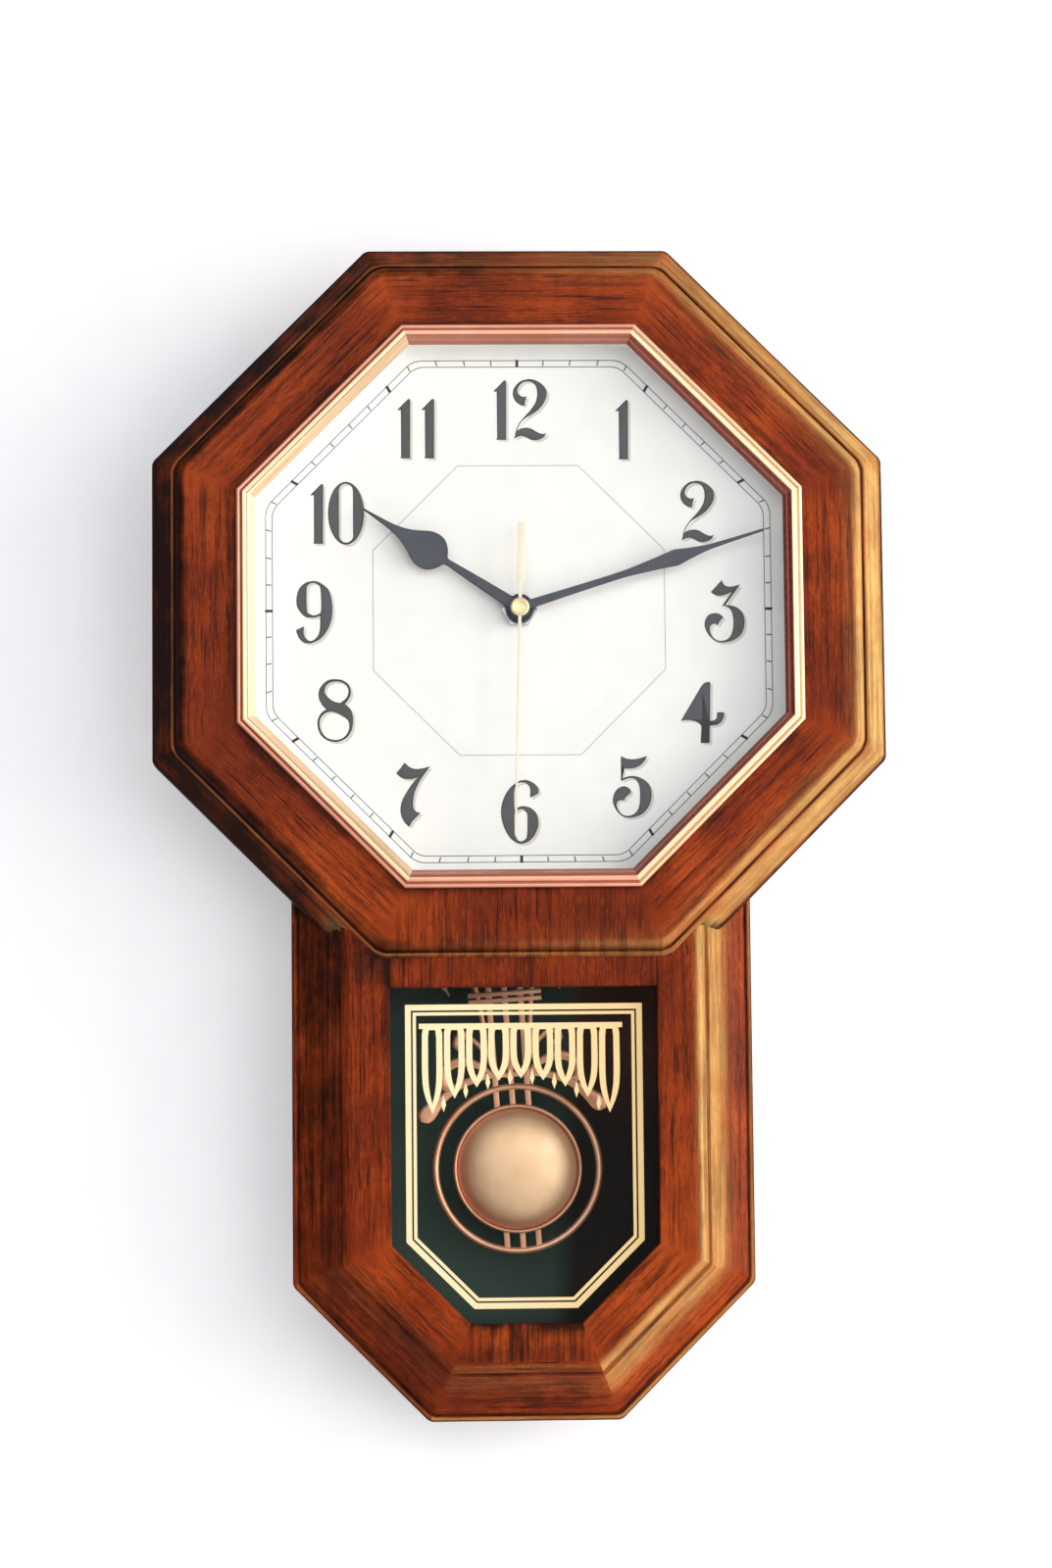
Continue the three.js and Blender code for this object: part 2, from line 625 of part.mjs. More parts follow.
function shaftNut() {
  const hexagon = circle(CENTRE, 7, 6);
  add("shaft_nut", plate(hexagon, 16.1, DIAL_FACE - JOINT, [circle(CENTRE, 4.1)]), "steel");
}

// An AA cell lying across the top of the movement, with its positive end to the left
function battery() {
  const profile = [
    [0, 0], [6.6, 0], [7.1, 0.6], [7.1, 48.9], [6.6, 49.4], [2.7, 49.4], [2.7, 50.6], [0, 50.6],
  ];
  const points = profile.map(([radius, length]) => new THREE.Vector2(radius, length - 25.3));
  const cell = new THREE.LatheGeometry(points, 24);
  cell.rotateZ(Math.PI / 2).translate(0, atDepth(29.2), BATTERY_AT);
  add("battery", solidOf(cell), "batteryWrap");
}

// The negative contact: a flat strip with its spring pressed out of it
function negativeContact() {
  const strip = plate(rectangle(26, 26.3, BATTERY_AT - 5, BATTERY_AT + 5), 23, 34);
  const spring = plate(rectangle(25.6, 26.1, BATTERY_AT - 2, BATTERY_AT + 2), 27.2, 31.2);
  add("battery_contact_negative", join(strip, spring), "steel");
}

// The circuit board with its chip, its quartz can and the positive contact soldered to it
function circuitBoard() {
  const board = plate(rectangle(-26.2, -19.6, -21.5, 21.5), 24.2, 25.4);
  const chip = plate(rectangle(-25.2, -20.6, -6, 2), 25.3, 27);
  const quartzCan = new THREE.CylinderGeometry(1.1, 1.1, 7, 16);
  quartzCan.rotateX(Math.PI / 2).translate(-22.9, atDepth(26.4), 10);
  const contact = plate(rectangle(-26.3, -26, BATTERY_AT - 5, BATTERY_AT + 5), 23, 34);
  const tail = plate(rectangle(-26.3, -26, 19, BATTERY_AT - 4), 23.6, 26.6);
  add("circuit_board", join(board, chip, solidOf(quartzCan), contact, tail), "circuit");
}

// The stepper motor: a stator round the rotor, and a coil on its core
function motor() {
  const outline = [[6.6, 21.5], [6.6, 8.6], [14.8, 8.6], [14.8, -11], [24, -11], [24, 21.5]];
  const window = rectangle(18.2, 21.5, -7.5, 18);
  add("stator", plate(outline, 30.2, 31.2, [window, circle(ROTOR, 3.4)]), "steel");
  const bobbin = new THREE.CylinderGeometry(3.3, 3.3, 24.6, 20);
  bobbin.rotateX(Math.PI / 2).translate(22.75, atDepth(30.7), 5.25);
  const slot = plate(rectangle(21.2, 24.3, -10, 20), 29.9, 31.5);
  add("motor_coil", cut(solidOf(bobbin), slot), "copperWire");
}

function pendulumDrive() {
  add("pendulum_coil", tube(DRIVE_COIL, 2, 9, 29.5, 35.4, 32), "copperWire");
  const front = COVER_BACK + 0.5;
  const back = front + 2;
  const [x, z] = DRIVE_COIL;
  const arm = join(
    rod(DRIVE_PIVOT, 4, front, back),
    plate(rectangle(-3, 3, HOOK[1] - 3, DRIVE_PIVOT[1]), front, back),
    rod([x, z], 6.4, front, back),
    rod(HOOK, 1, back - 0.5, 46),
    rod(HOOK, 1.8, 45.6, 46.4),
  );
  const pivotHole = rod(DRIVE_PIVOT, 1.3, front - 1, back + 1);
  const pocket = rod([x, z], 4.3, front - 1, back + 1, 32);
  add("drive_arm", cut(arm, pivotHole, pocket), "whitePlastic");
  add("drive_magnet", rod([x, z], 4, front + 0.1, back - 0.1, 32), "magnet");
}

// ---- Hands ----
// A hand's outline from its widths: [distance from the axis, half-width] along one side
function handOutline(widths) {
  const right = widths.map(([along, half]) => [half, along]);
  const left = widths.map(([along, half]) => [-half, along]).reverse();
  return [...right, ...left];
}

const HOUR_HAND = [
  [0, 2.3], [16, 1.9], [33, 1.2], [34.6, 1.8], [35.4, 3.6], [36.6, 5.3], [38.4, 6.7], [40.6, 7.4],
  [43, 7.4], [45.5, 6.7], [48, 5.3], [51, 3.7], [55, 2.2], [60, 1.2], [66, 0.7], [72, 0.35],
];
const MINUTE_HAND = [
  [0, 1.7], [10, 1.65], [25, 1.4], [38, 1.3], [44, 1.4], [48, 1.7], [56.4, 2.4], [64, 3.25],
  [70, 2.1], [76.3, 1.2], [82.5, 0.85], [100, 0.5],
];
const SECOND_HAND = [
  [-33.5, 1.35], [-10, 1.35], [-9.6, 0.75], [20, 0.62], [60, 0.5], [88.9, 0.4],
];

function handGroup(angle) {
  const group = new THREE.Group();
  group.rotation.y = THREE.MathUtils.degToRad(angle);
  dialFrame.add(group);
  return group;
}

function hands() {
  const hour = join(
    plate(handOutline(HOUR_HAND), 12.9, 13.6),
    rod(CENTRE, 5.5, 12.9, 13.6, 32),
    rod(CENTRE, 3.6, 13.5, 15),
  );
  const hourBore = rod(CENTRE, PIPE.hourOuter + 0.12, 12, 16);
  add("hour_hand", cut(hour, hourBore), "handBlack", handGroup(HOUR_ANGLE));

  const minute = join(
    plate(handOutline(MINUTE_HAND), 10.9, 11.5),
    rod(CENTRE, 4.2, 10.9, 11.5, 32),
    rod(CENTRE, 2.8, 11.4, 12.5),
  );
  const minuteBore = rod(CENTRE, PIPE.minuteOuter + 0.12, 10, 13);
  add("minute_hand", cut(minute, minuteBore), "handBlack", handGroup(MINUTE_ANGLE));

  const second = join(
    plate(handOutline(SECOND_HAND), 9.5, 9.9),
    turned(CENTRE, [[0, 8.6], [2.6, 8.65], [3.4, 8.9], [3.6, 9.3], [3.6, 9.6], [0, 9.6]]),
    rod(CENTRE, 1.3, 9.8, 10.7),
  );
  const socket = rod(CENTRE, ARBOR + 0.12, 10.2, 12, 16);
  add("second_hand", cut(second, socket), "ivory", handGroup(SECOND_ANGLE));
}

// ---- Pendulum ornament, in its own frame with the bob's centre at the origin ----
// A ribbon of varying half-width along a smooth curve through the points
function ribbon(points, halfWidths, steps) {
  const curve = new THREE.CatmullRomCurve3(points.map(([x, z]) => new THREE.Vector3(x, z, 0)));
  const widths = new THREE.CatmullRomCurve3(halfWidths.map((w, i) => new THREE.Vector3(i, w, 0)));
  const sides = [1, -1].map((side) =>
    Array.from({ length: steps + 1 }, (_, i) => {
      const t = i / steps;
      const at = curve.getPoint(t);
      const along = curve.getTangent(t);
      const half = side * widths.getPoint(t).y;
      return [at.x - along.y * half, at.y + along.x * half];
    }),
  );
  return [...sides[0], ...sides[1].reverse()];
}

// One side of the lyre: each strand has its curve's points, its half-widths and its steps
const LYRE_STRANDS = {
  foot: [
    [[1, 36.6], [-9, 37], [-19, 34], [-26, 29.4], [-30.6, 25], [-33.6, 22], [-36, 19.6]],
    [1.1, 1.5, 1.6, 1.8, 2.9, 3.1, 0.5], 18,
  ],
  baseScroll: [
    [[-7, 37], [-13, 41.5], [-20.5, 43], [-26.2, 39.5], [-26, 33.8], [-21, 33.2], [-19.6, 37]],
    [1, 1.5, 1.9, 1.8, 1.6, 1.3, 1.4], 18,
  ],
  arm: [
    [[-5, 37], [-8.6, 45], [-9, 54], [-10.6, 68], [-13.6, 82], [-19, 92], [-25.6, 92.6], [-27.8, 85],
      [-25, 76], [-21.6, 69]],
    [1.1, 1.1, 1.1, 1.1, 1.3, 1.6, 1.8, 1.8, 1.5, 0.3], 30,
  ],
  sideCurl: [[[-8.8, 45.5], [-13, 50.5], [-18, 53.5], [-20.6, 50], [-17.6, 47.6]], [0.8, 1.1, 1.4, 1.3, 1.4], 12],
};

function lyre() {
  const strands = Object.values(LYRE_STRANDS).flatMap(([points, widths, steps]) => [
    ribbon(points, widths, steps),
    ribbon(points.map(([x, z]) => [-x, z]), widths, steps),
  ]);
  return join(...strands.map((strand) => plate(strand, ROD_FRONT + 0.1, ROD_BACK - 0.1)));
}

function pendulum() {
  const ornament = new THREE.Group();
  ornament.position.set(BOB_CENTRE[0], 0, BOB_CENTRE[1]);
  ornament.rotation.y = -THREE.MathUtils.degToRad(PENDULUM_TILT);
  dialFrame.add(ornament);

  const rods = [-1, 0, 1].map((side) => {
    const x = side * ROD_SPACING;
    const foot = -Math.sqrt((RING_RADIUS - 1) ** 2 - x ** 2);
    return plate(rectangle(x - 1.15, x + 1.15, foot, TOP_BAR), ROD_FRONT, ROD_BACK);
  });
  const crossBars = [66, 68.6].map((z) =>
    plate(rectangle(-14.5, 14.5, z - 0.8, z + 0.8), ROD_FRONT - 0.5, ROD_BACK));
  const ringSection = Array.from({ length: 9 }, (_, i) => {
    const angle = (Math.PI * i) / 4;
    return [RING_RADIUS + RING_HALF * (Math.cos(angle) - 1), 42.6 + 1.6 * Math.sin(angle)];
  });
  const topBar = plate(rectangle(-14.5, 14.5, TOP_BAR - 3, TOP_BAR + 3), ROD_FRONT, ROD_BACK);
  const [hookAcross, hookUp] = hookInOrnament();
  const holes = [-hookAcross, 0, hookAcross].map((x) => rod([x, hookUp], 1.08, 40, 45));
  const frame = join(...rods, ...crossBars, topBar, turned(CENTRE, ringSection, 48), lyre());
  add("pendulum_frame", cut(frame, ...holes), "copper", ornament);

  // The bob is pressed from sheet: a dome, a groove and a rolled rim
  const bobProfile = [
    [0, 34.6], [7, 34.9], [12, 35.6], [16, 36.7], [19, 38], [21, 39.2], [22.4, 40.2],
    [23, 40.5], [23.4, 40.4],
    [23.6, 39], [24.1, 38.2], [24.7, 38.2], [BOB_RADIUS, 38.9], [BOB_RADIUS, ROD_FRONT - JOINT],
    [22.8, ROD_FRONT - JOINT], [20.6, 40.4], [18.5, 39.1], [15.6, 37.8], [11.8, 36.7],
    [6.9, 35.9], [0, 35.6],
  ];
  add("pendulum_bob", turned(CENTRE, bobProfile, 64), "bobGold", ornament);
}

// The peg's place seen from the ornament, whose top leans to the left
function hookInOrnament() {
  const tilt = THREE.MathUtils.degToRad(PENDULUM_TILT);
  const across = HOOK[0] - BOB_CENTRE[0];
  const up = HOOK[1] - BOB_CENTRE[1];
  return [
    across * Math.cos(tilt) + up * Math.sin(tilt),
    -across * Math.sin(tilt) + up * Math.cos(tilt),
  ];
}

woodenHead();
woodenDrop();
caseBoards();
backBoard();
hanger();
bezel();
dialAndGlasses();
movementBox();
movementCover();
shaftNut();
battery();
negativeContact();
circuitBoard();
motor();
goingTrain();
motionWork();
pendulumDrive();
hands();
pendulum();

export default clock;
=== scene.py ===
"""The looks of a schoolhouse wall clock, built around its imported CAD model.

Shapes are written in millimetres, [x, z] from the hands' axis with a depth measured back from the
bezel's front edge, and place() turns them into the frame's metres. The front faces -Y.
"""

import json
import math
from contextlib import contextmanager

import bmesh
import bpy
from mathutils import Matrix, Vector


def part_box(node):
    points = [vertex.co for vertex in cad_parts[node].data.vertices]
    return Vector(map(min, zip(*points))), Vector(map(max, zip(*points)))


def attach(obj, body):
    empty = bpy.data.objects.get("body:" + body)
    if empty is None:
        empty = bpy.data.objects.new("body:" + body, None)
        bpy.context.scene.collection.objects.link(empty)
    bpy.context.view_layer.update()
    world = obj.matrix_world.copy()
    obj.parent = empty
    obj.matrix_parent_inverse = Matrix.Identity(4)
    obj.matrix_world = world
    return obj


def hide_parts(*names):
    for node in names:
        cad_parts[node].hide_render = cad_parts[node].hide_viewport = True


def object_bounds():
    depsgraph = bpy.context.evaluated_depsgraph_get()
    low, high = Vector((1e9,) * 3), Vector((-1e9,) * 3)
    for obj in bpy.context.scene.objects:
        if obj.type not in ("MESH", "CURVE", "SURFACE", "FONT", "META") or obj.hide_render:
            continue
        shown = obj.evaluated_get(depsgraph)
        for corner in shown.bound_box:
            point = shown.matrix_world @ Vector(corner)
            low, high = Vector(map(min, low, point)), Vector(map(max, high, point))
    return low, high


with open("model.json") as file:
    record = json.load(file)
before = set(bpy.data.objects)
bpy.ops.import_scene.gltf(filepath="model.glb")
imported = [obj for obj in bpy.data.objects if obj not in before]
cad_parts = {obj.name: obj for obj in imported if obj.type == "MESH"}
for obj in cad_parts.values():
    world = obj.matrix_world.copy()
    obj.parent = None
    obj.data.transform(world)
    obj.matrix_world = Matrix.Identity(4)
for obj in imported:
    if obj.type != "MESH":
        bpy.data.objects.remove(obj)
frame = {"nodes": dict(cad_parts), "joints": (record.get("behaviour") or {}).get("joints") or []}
cad_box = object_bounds()

# ---- The frame's own measures ----
MM = 0.001
FRONT = cad_box[0].y
JOINTS = {joint["name"]: joint for joint in frame["joints"]}
AXIS_Z = JOINTS["minute_turn"]["pos_m"][2]
HEAD_APOTHEM = (cad_box[1].x - cad_box[0].x) / 2 / MM
DROP_HALF_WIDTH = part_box("drop_rail_right")[1].x / MM
DROP_BOTTOM = (cad_box[0].z - AXIS_Z) / MM
DROP_TOP = -76.0  # where its side rails start, behind the head
DROP_CHAMFER = 52.4
TAN_MITRE = math.tan(math.pi / 8)


def place(x, z, depth):
    """A point of the dial's millimetres in the frame's metres."""
    return Vector((x * MM, FRONT + depth * MM, AXIS_Z + z * MM))


# ---- Points and outlines ----
def polar(radius, degrees, centre=(0, 0)):
    angle = math.radians(degrees)
    return centre[0] + radius * math.cos(angle), centre[1] + radius * math.sin(angle)


def circle(centre, radius, sides=48):
    return [polar(radius, 360 * i / sides, centre) for i in range(sides)]


def rectangle(left, right, bottom, top):
    return [(left, bottom), (right, bottom), (right, top), (left, top)]


def octagon(apothem):
    """Corners in a counter-clockwise turn as seen from the front, from the top edge's right end."""
    return [polar(apothem / math.cos(math.pi / 8), 67.5 + 45 * i) for i in range(8)]


def spline(points, steps):
    """A Catmull-Rom curve through the points, with straight ends."""
    ends = [tuple(2 * a - b for a, b in zip(points[i], points[j])) for i, j in ((0, 1), (-1, -2))]
    knots = [ends[0], *points, ends[1]]

    def between(a, b, c, d, t):
        square, cube = a - 2.5 * b + 2 * c - d / 2, 1.5 * b - 1.5 * c + (d - a) / 2
        return b + t * ((c - a) / 2 + t * (square + t * cube))

    curve = []
    for near in zip(knots, knots[1:], knots[2:], knots[3:]):
        for step in range(steps):
            curve.append(tuple(between(*values, step / steps) for values in zip(*near)))
    return [*curve, points[-1]]


def closed_runs(runs, steps=4):
    """A closed outline made of smooth runs that meet at corners. A run of two points is straight."""
    outline = []
    for run, following in zip(runs, [*runs[1:], runs[0]]):
        points = [*run, following[0]]
        curve = spline(points, steps) if len(points) > 2 else points
        outline.extend(curve[:-1])
    return outline


def closed_spline(points, steps=4):
    """A smooth closed outline through the points."""
    count = len(points)
    turn = [*points[-2:], *points, *points[:2]]
    return spline(turn, steps)[2 * steps:(2 + count) * steps]


def area(points):
    return sum(x0 * y1 - x1 * y0 for (x0, y0), (x1, y1) in zip(points, [*points[1:], points[0]])) / 2


# ---- Mesh helpers ----
@contextmanager
def editing(mesh):
    """A working copy of the mesh, which is written back to it at the end."""
    work = bmesh.new()
    work.from_mesh(mesh)
    yield work
    work.to_mesh(mesh)
    work.free()


def linked(name, data):
    """A new object in the scene."""
    made = bpy.data.objects.new(name, data)
    bpy.context.scene.collection.objects.link(made)
    return made


def finish_mesh(mesh, sharp_degrees):
    """Smooth shading that breaks at edges sharper than the given angle."""
    limit = math.radians(sharp_degrees)
    with editing(mesh) as work:
        bmesh.ops.recalc_face_normals(work, faces=work.faces)
        for face in work.faces:
            face.smooth = True
        for edge in work.edges:
            edge.smooth = len(edge.link_faces) == 2 and edge.calc_face_angle(0) < limit


def piece(name, mesh, body, material, replaces=(), sharp=28):
    """A finished piece on a body, which stands for the CAD nodes that it replaces."""
    finish_mesh(mesh, sharp)
    made = linked(name, mesh)
    mesh.materials.append(material)
    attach(made, body)
    if replaces:
        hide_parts(*replaces)
    return made


def tube_faces(count, rows):
    """Faces that join rows of count points into a closed tube, with a cap at each end."""
    faces = [list(range(count)), list(range((rows - 1) * count, rows * count))]
    for row in range(rows - 1):
        for i in range(count):
            j = (i + 1) % count
            faces.append([row * count + i, row * count + j, (row + 1) * count + j, (row + 1) * count + i])
    return faces


def mesh_of(name, vertices, faces):
    mesh = bpy.data.meshes.new(name)
    mesh.from_pydata(vertices, [], faces)
    return mesh


def joined(name, meshes):
    """One mesh from several, with their material numbers kept."""
    work = bmesh.new()
    for mesh in meshes:
        work.from_mesh(mesh)
    made = bpy.data.meshes.new(name)
    work.to_mesh(made)
    work.free()
    return made


def evaluated(made):
    """A new mesh of the object as its curve settings and modifiers leave it."""
    graph = bpy.context.evaluated_depsgraph_get()
    return bpy.data.meshes.new_from_object(made.evaluated_get(graph))


def plate_mesh(name, contours, front, back, bevel=0.0, shrink=0.0, turn=None):
    """A plate with the given outlines, the first one outside, and rounded edges if bevel is set."""
    curve = bpy.data.curves.new(name, "CURVE")
    curve.dimensions = "2D"
    curve.fill_mode = "BOTH"
    curve.extrude = (back - front) / 2 * MM - bevel * MM
    curve.bevel_depth = bevel * MM
    curve.bevel_resolution = 2
    curve.offset = -(bevel + shrink) * MM
    for i, contour in enumerate(contours):
        if (area(contour) > 0) != (i == 0):
            contour = contour[::-1]
        line = curve.splines.new("POLY")
        line.points.add(len(contour) - 1)
        for point, (x, z) in zip(line.points, contour):
            point.co = (x * MM, z * MM, 0, 1)
        line.use_cyclic_u = True
    holder = linked(name, curve)
    mesh = evaluated(holder)
    bpy.data.objects.remove(holder)
    stand = Matrix.Translation(place(0, 0, (front + back) / 2)) @ Matrix.Rotation(math.pi / 2, 4, "X")
    mesh.transform(stand @ turn if turn else stand)
    with editing(mesh) as work:
        bmesh.ops.remove_doubles(work, verts=work.verts, dist=2e-6)
    mesh.name = name
    return mesh


def turned_mesh(name, profile, centre=(0, 0), sides=96):
    """A [radius, depth] profile turned about an axis that runs front to back."""
    vertices, rings = [], []
    for radius, depth in profile:
        if radius < 1e-6:
            rings.append([len(vertices)] * sides)
            vertices.append(place(*centre, depth))
        else:
            rings.append(list(range(len(vertices), len(vertices) + sides)))
            vertices.extend(place(*point, depth) for point in circle(centre, radius, sides))
    faces = []
    for ring, following in zip(rings, rings[1:]):
        for i in range(sides):
            j = (i + 1) % sides
            corners = [ring[i], ring[j], following[j], following[i]]
            faces.append(list(dict.fromkeys(corners)))
    if profile[0] == profile[-1]:
        last = rings[-1]
        faces = [[rings[0][last.index(v)] if v in last else v for v in face] for face in faces]
    mesh = mesh_of(name, vertices, faces)
    with editing(mesh) as work:
        bmesh.ops.delete(work, geom=[v for v in work.verts if not v.link_faces], context="VERTS")
    return mesh


# ---- Shaders ----
class Shader:
    """A material and short calls for its nodes."""

    def __init__(self, name):
        self.material = bpy.data.materials.new(name)
        self.material.use_nodes = True
        self.tree = self.material.node_tree
        self.surface = self.tree.nodes["Principled BSDF"]

    def node(self, kind, inputs=(), **settings):
        made = self.tree.nodes.new("ShaderNode" + kind)
        for key, value in settings.items():
            setattr(made, key, value)
        for key, value in dict(inputs).items():
            self.feed(made.inputs[key], value)
        return made

    def feed(self, socket, value):
        if isinstance(value, bpy.types.NodeSocket):
            self.tree.links.new(value, socket)
        else:
            socket.default_value = value

    def set(self, **values):
        names = {"colour": "Base Color", "roughness": "Roughness", "metal": "Metallic", "normal": "Normal",
                 "coat": "Coat Weight", "coat_roughness": "Coat Roughness", "alpha": "Alpha",
                 "specular": "Specular IOR Level", "glow": "Emission Color",
                 "glow_strength": "Emission Strength"}
        for key, value in values.items():
            self.feed(self.surface.inputs[names[key]], value)

    def where(self):
        """The point's own place in the frame."""
        return self.node("TexCoord").outputs["Object"]

    def tone(self):
        """The stored tone, as its red, green and blue."""
        colour = self.node("Attribute", attribute_name="tone").outputs["Color"]
        return self.node("SeparateColor", {"Color": colour}).outputs

    def noise(self, vector, scale=1.0, detail=3, roughness=0.6, distortion=0.0):
        inputs = {"Vector": vector, "Scale": scale, "Detail": detail, "Roughness": roughness,
                  "Distortion": distortion}
        return self.node("TexNoise", inputs).outputs["Fac"]

    def scaled(self, vector, x, y, z, shift=(0, 0, 0)):
        return self.node("Mapping", {"Vector": vector, "Scale": (x, y, z), "Location": shift}).outputs[0]

    def ramp(self, value, stops):
        made = self.node("ValToRGB", {"Fac": value})
        elements = made.color_ramp.elements
        while len(elements) < len(stops):
            elements.new(0.5)
        for element, (position, colour) in zip(elements, stops):
            element.position = position
            element.color = (*colour, 1) if len(colour) == 3 else colour
        return made.outputs["Color"]

    def remap(self, value, from_low, from_high, to_low, to_high):
        inputs = {"Value": value, "From Min": from_low, "From Max": from_high, "To Min": to_low,
                  "To Max": to_high}
        return self.node("MapRange", inputs, clamp=True).outputs["Result"]

    def maths(self, operation, first, second=0.0):
        return self.node("Math", {0: first, 1: second}, operation=operation, use_clamp=True).outputs[0]

    def mix(self, factor, first, second, blend="MIX"):
        made = self.node("Mix", data_type="RGBA", blend_type=blend)
        self.feed(made.inputs[0], factor)
        self.feed(made.inputs[6], first)
        self.feed(made.inputs[7], second)
        return made.outputs[2]

    def bump(self, height, strength, distance):
        inputs = {"Height": height, "Strength": strength, "Distance": distance}
        return self.node("Bump", inputs).outputs["Normal"]


def srgb(red, green, blue):
    """A linear colour from 0 to 255 screen values."""
    return tuple(((c / 255 + 0.055) / 1.055) ** 2.4 if c > 10 else c / 255 / 12.92
                 for c in (red, green, blue)) + (1,)


WOOD_DEEP = srgb(104, 35, 14)
WOOD_MIDDLE = srgb(140, 52, 17)
WOOD_PALE = srgb(168, 70, 24)
WOOD_LIGHT = srgb(192, 94, 40)
WOOD_FIGURE = srgb(82, 28, 12)
WOOD_STREAK = srgb(48, 20, 11)
# Pale gold, for painted highlights and a little worn wood
WOOD_WORN_AND_LIT = srgb(222, 181, 110)
WOOD_DARK = srgb(34, 15, 9)


def coated_wood():
    """Satin reddish mahogany stain: clouds, fine figure and dark streaks, with painted shade and highlights.

    The clouds run over the whole clock, so that the mitres don't show as steps in its tone. The figure
    and the streaks follow each rail's own grain. The tone attribute's red is how dark it lies, mostly
    painted shade, and its green is how far it turns to pale gold, mostly painted highlight with a little
    worn wood. Its blue is 1 at the mitres, where the grain is quieter.
    """
    shader = Shader("mahogany")
    grain = shader.node("UVMap", uv_map="grain").outputs["UV"]
    where = shader.where()
    parts = shader.tone()
    clouds = shader.noise(where, scale=24.0, roughness=0.55)
    patches = shader.noise(where, scale=75.0)
    figure = shader.noise(shader.scaled(grain, 1 / 70, 1 / 2.6, 1), detail=4, roughness=0.62,
                          distortion=0.35)
    streaks = shader.noise(shader.scaled(grain, 1 / 24, 1 / 1.05, 1, (3, 7, 0)), roughness=0.55,
                           distortion=0.2)
    fibre = shader.noise(shader.scaled(grain, 1 / 5, 1 / 0.42, 1, (5, 2, 0)), detail=4, roughness=0.7)
    mottle = shader.noise(shader.scaled(grain, 1 / 3.2, 1 / 1.6, 1, (9, 4, 0)), detail=4, roughness=0.65)
    colour = shader.ramp(clouds, [(0.34, WOOD_DEEP), (0.5, WOOD_MIDDLE), (0.66, WOOD_PALE)])
    smudges = shader.noise(shader.scaled(grain, 1 / 20, 1 / 6.5, 1, (2, 8, 0)), detail=5, roughness=0.68)
    plain = shader.remap(parts["Blue"], 0.0, 1.0, 1.0, 0.2)
    base = shader.mix(shader.remap(smudges, 0.52, 0.72, 0.0, 0.6), colour, WOOD_FIGURE)
    colour = shader.mix(shader.remap(figure, 0.46, 0.64, 0.0, 0.8), base, WOOD_FIGURE)
    colour = shader.mix(shader.remap(fibre, 0.5, 0.7, 0.0, 0.55), colour, WOOD_FIGURE)
    colour = shader.mix(shader.remap(fibre, 0.46, 0.28, 0.0, 0.5), colour, WOOD_LIGHT)
    colour = shader.mix(shader.remap(mottle, 0.5, 0.68, 0.0, 0.45), colour, WOOD_FIGURE)
    streak_mask = shader.maths("MULTIPLY", shader.remap(streaks, 0.55, 0.64, 0.0, 0.92),
                               shader.remap(patches, 0.36, 0.58, 0.45, 1.0))
    colour = shader.mix(streak_mask, colour, WOOD_STREAK)
    colour = shader.mix(plain, base, colour)
    # Painted golden highlight, with a little worn wood, where the tone's green is marked
    wear_and_highlight = shader.maths("MULTIPLY", parts["Green"], shader.remap(patches, 0.34, 0.62, 0.62, 1.0))
    wear_and_highlight = shader.maths("MULTIPLY", wear_and_highlight, shader.remap(figure, 0.64, 0.42, 0.5, 1.0))
    wear_and_highlight = shader.maths("MULTIPLY", wear_and_highlight, shader.remap(fibre, 0.7, 0.35, 0.65, 1.0))
    colour = shader.mix(wear_and_highlight, colour, WOOD_WORN_AND_LIT)
    # Darkening where the tone's red is marked, mostly painted shade, varied by random patches
    tone_and_shading = shader.maths("ADD", parts["Red"], shader.remap(patches, 0.34, 0.66, -0.24, 0.26))
    tone_and_shading = shader.maths("ADD", tone_and_shading, shader.remap(figure, 0.3, 0.7, -0.1, 0.16))
    tone_and_shading = shader.maths("SUBTRACT", tone_and_shading, shader.maths("MULTIPLY", parts["Green"], 0.22))
    colour = shader.mix(shader.remap(tone_and_shading, 0.2, 0.85, 0.0, 0.94), colour, WOOD_DARK)
    height = shader.maths("SUBTRACT", shader.remap(fibre, 0.2, 0.8, 0.4, 0.8), streak_mask)
    shader.set(colour=colour, roughness=shader.remap(fibre, 0.25, 0.75, 0.36, 0.5), specular=0.05,
               coat=0.03, coat_roughness=0.12, normal=shader.bump(height, 0.2, 0.0002))
    return shader.material


def plain_wood(name, low, high, dark, roughness, along=(1, 1, 0.05)):
    """Uncoated or stained board in the frame's own coordinates, with its grain along one axis."""
    shader = Shader(name)
    where = shader.where()
    stretched = shader.scaled(where, *(260 * a for a in along))
    figure = shader.noise(stretched, scale=0.35, detail=4, distortion=0.6)
    fibre = shader.noise(stretched, scale=4.0, detail=4, roughness=0.7)
    colour = shader.ramp(figure, [(0.32, srgb(*low)), (0.68, srgb(*high))])
    colour = shader.mix(shader.remap(fibre, 0.5, 0.75, 0.0, 0.55), colour, srgb(*dark))
    shader.set(colour=colour, roughness=shader.remap(fibre, 0.3, 0.7, roughness - 0.08, roughness + 0.08),
               normal=shader.bump(fibre, 0.3, 0.0003))
    return shader.material


def speckled(name, base, other, roughness, metal=0.0, scale=900.0, stretch=(1, 1, 1), bump=0.08,
             spread=0.08, coat=0.0):
    """A surface whose colour, roughness and height drift a little, as on real moulded or plated parts."""
    shader = Shader(name)
    where = shader.where()
    vector = shader.scaled(where, *stretch)
    coarse = shader.noise(vector, scale=scale * 0.06, detail=4)
    fine = shader.noise(vector, scale=scale)
    factor = shader.remap(coarse, 0.35, 0.65, 0.0, 1.0)
    shader.set(colour=shader.mix(factor, srgb(*base), srgb(*other)), metal=metal, coat=coat,
               roughness=shader.remap(fine, 0.3, 0.7, roughness - spread / 2, roughness + spread / 2),
               normal=shader.bump(fine, bump, 0.00005))
    return shader.material


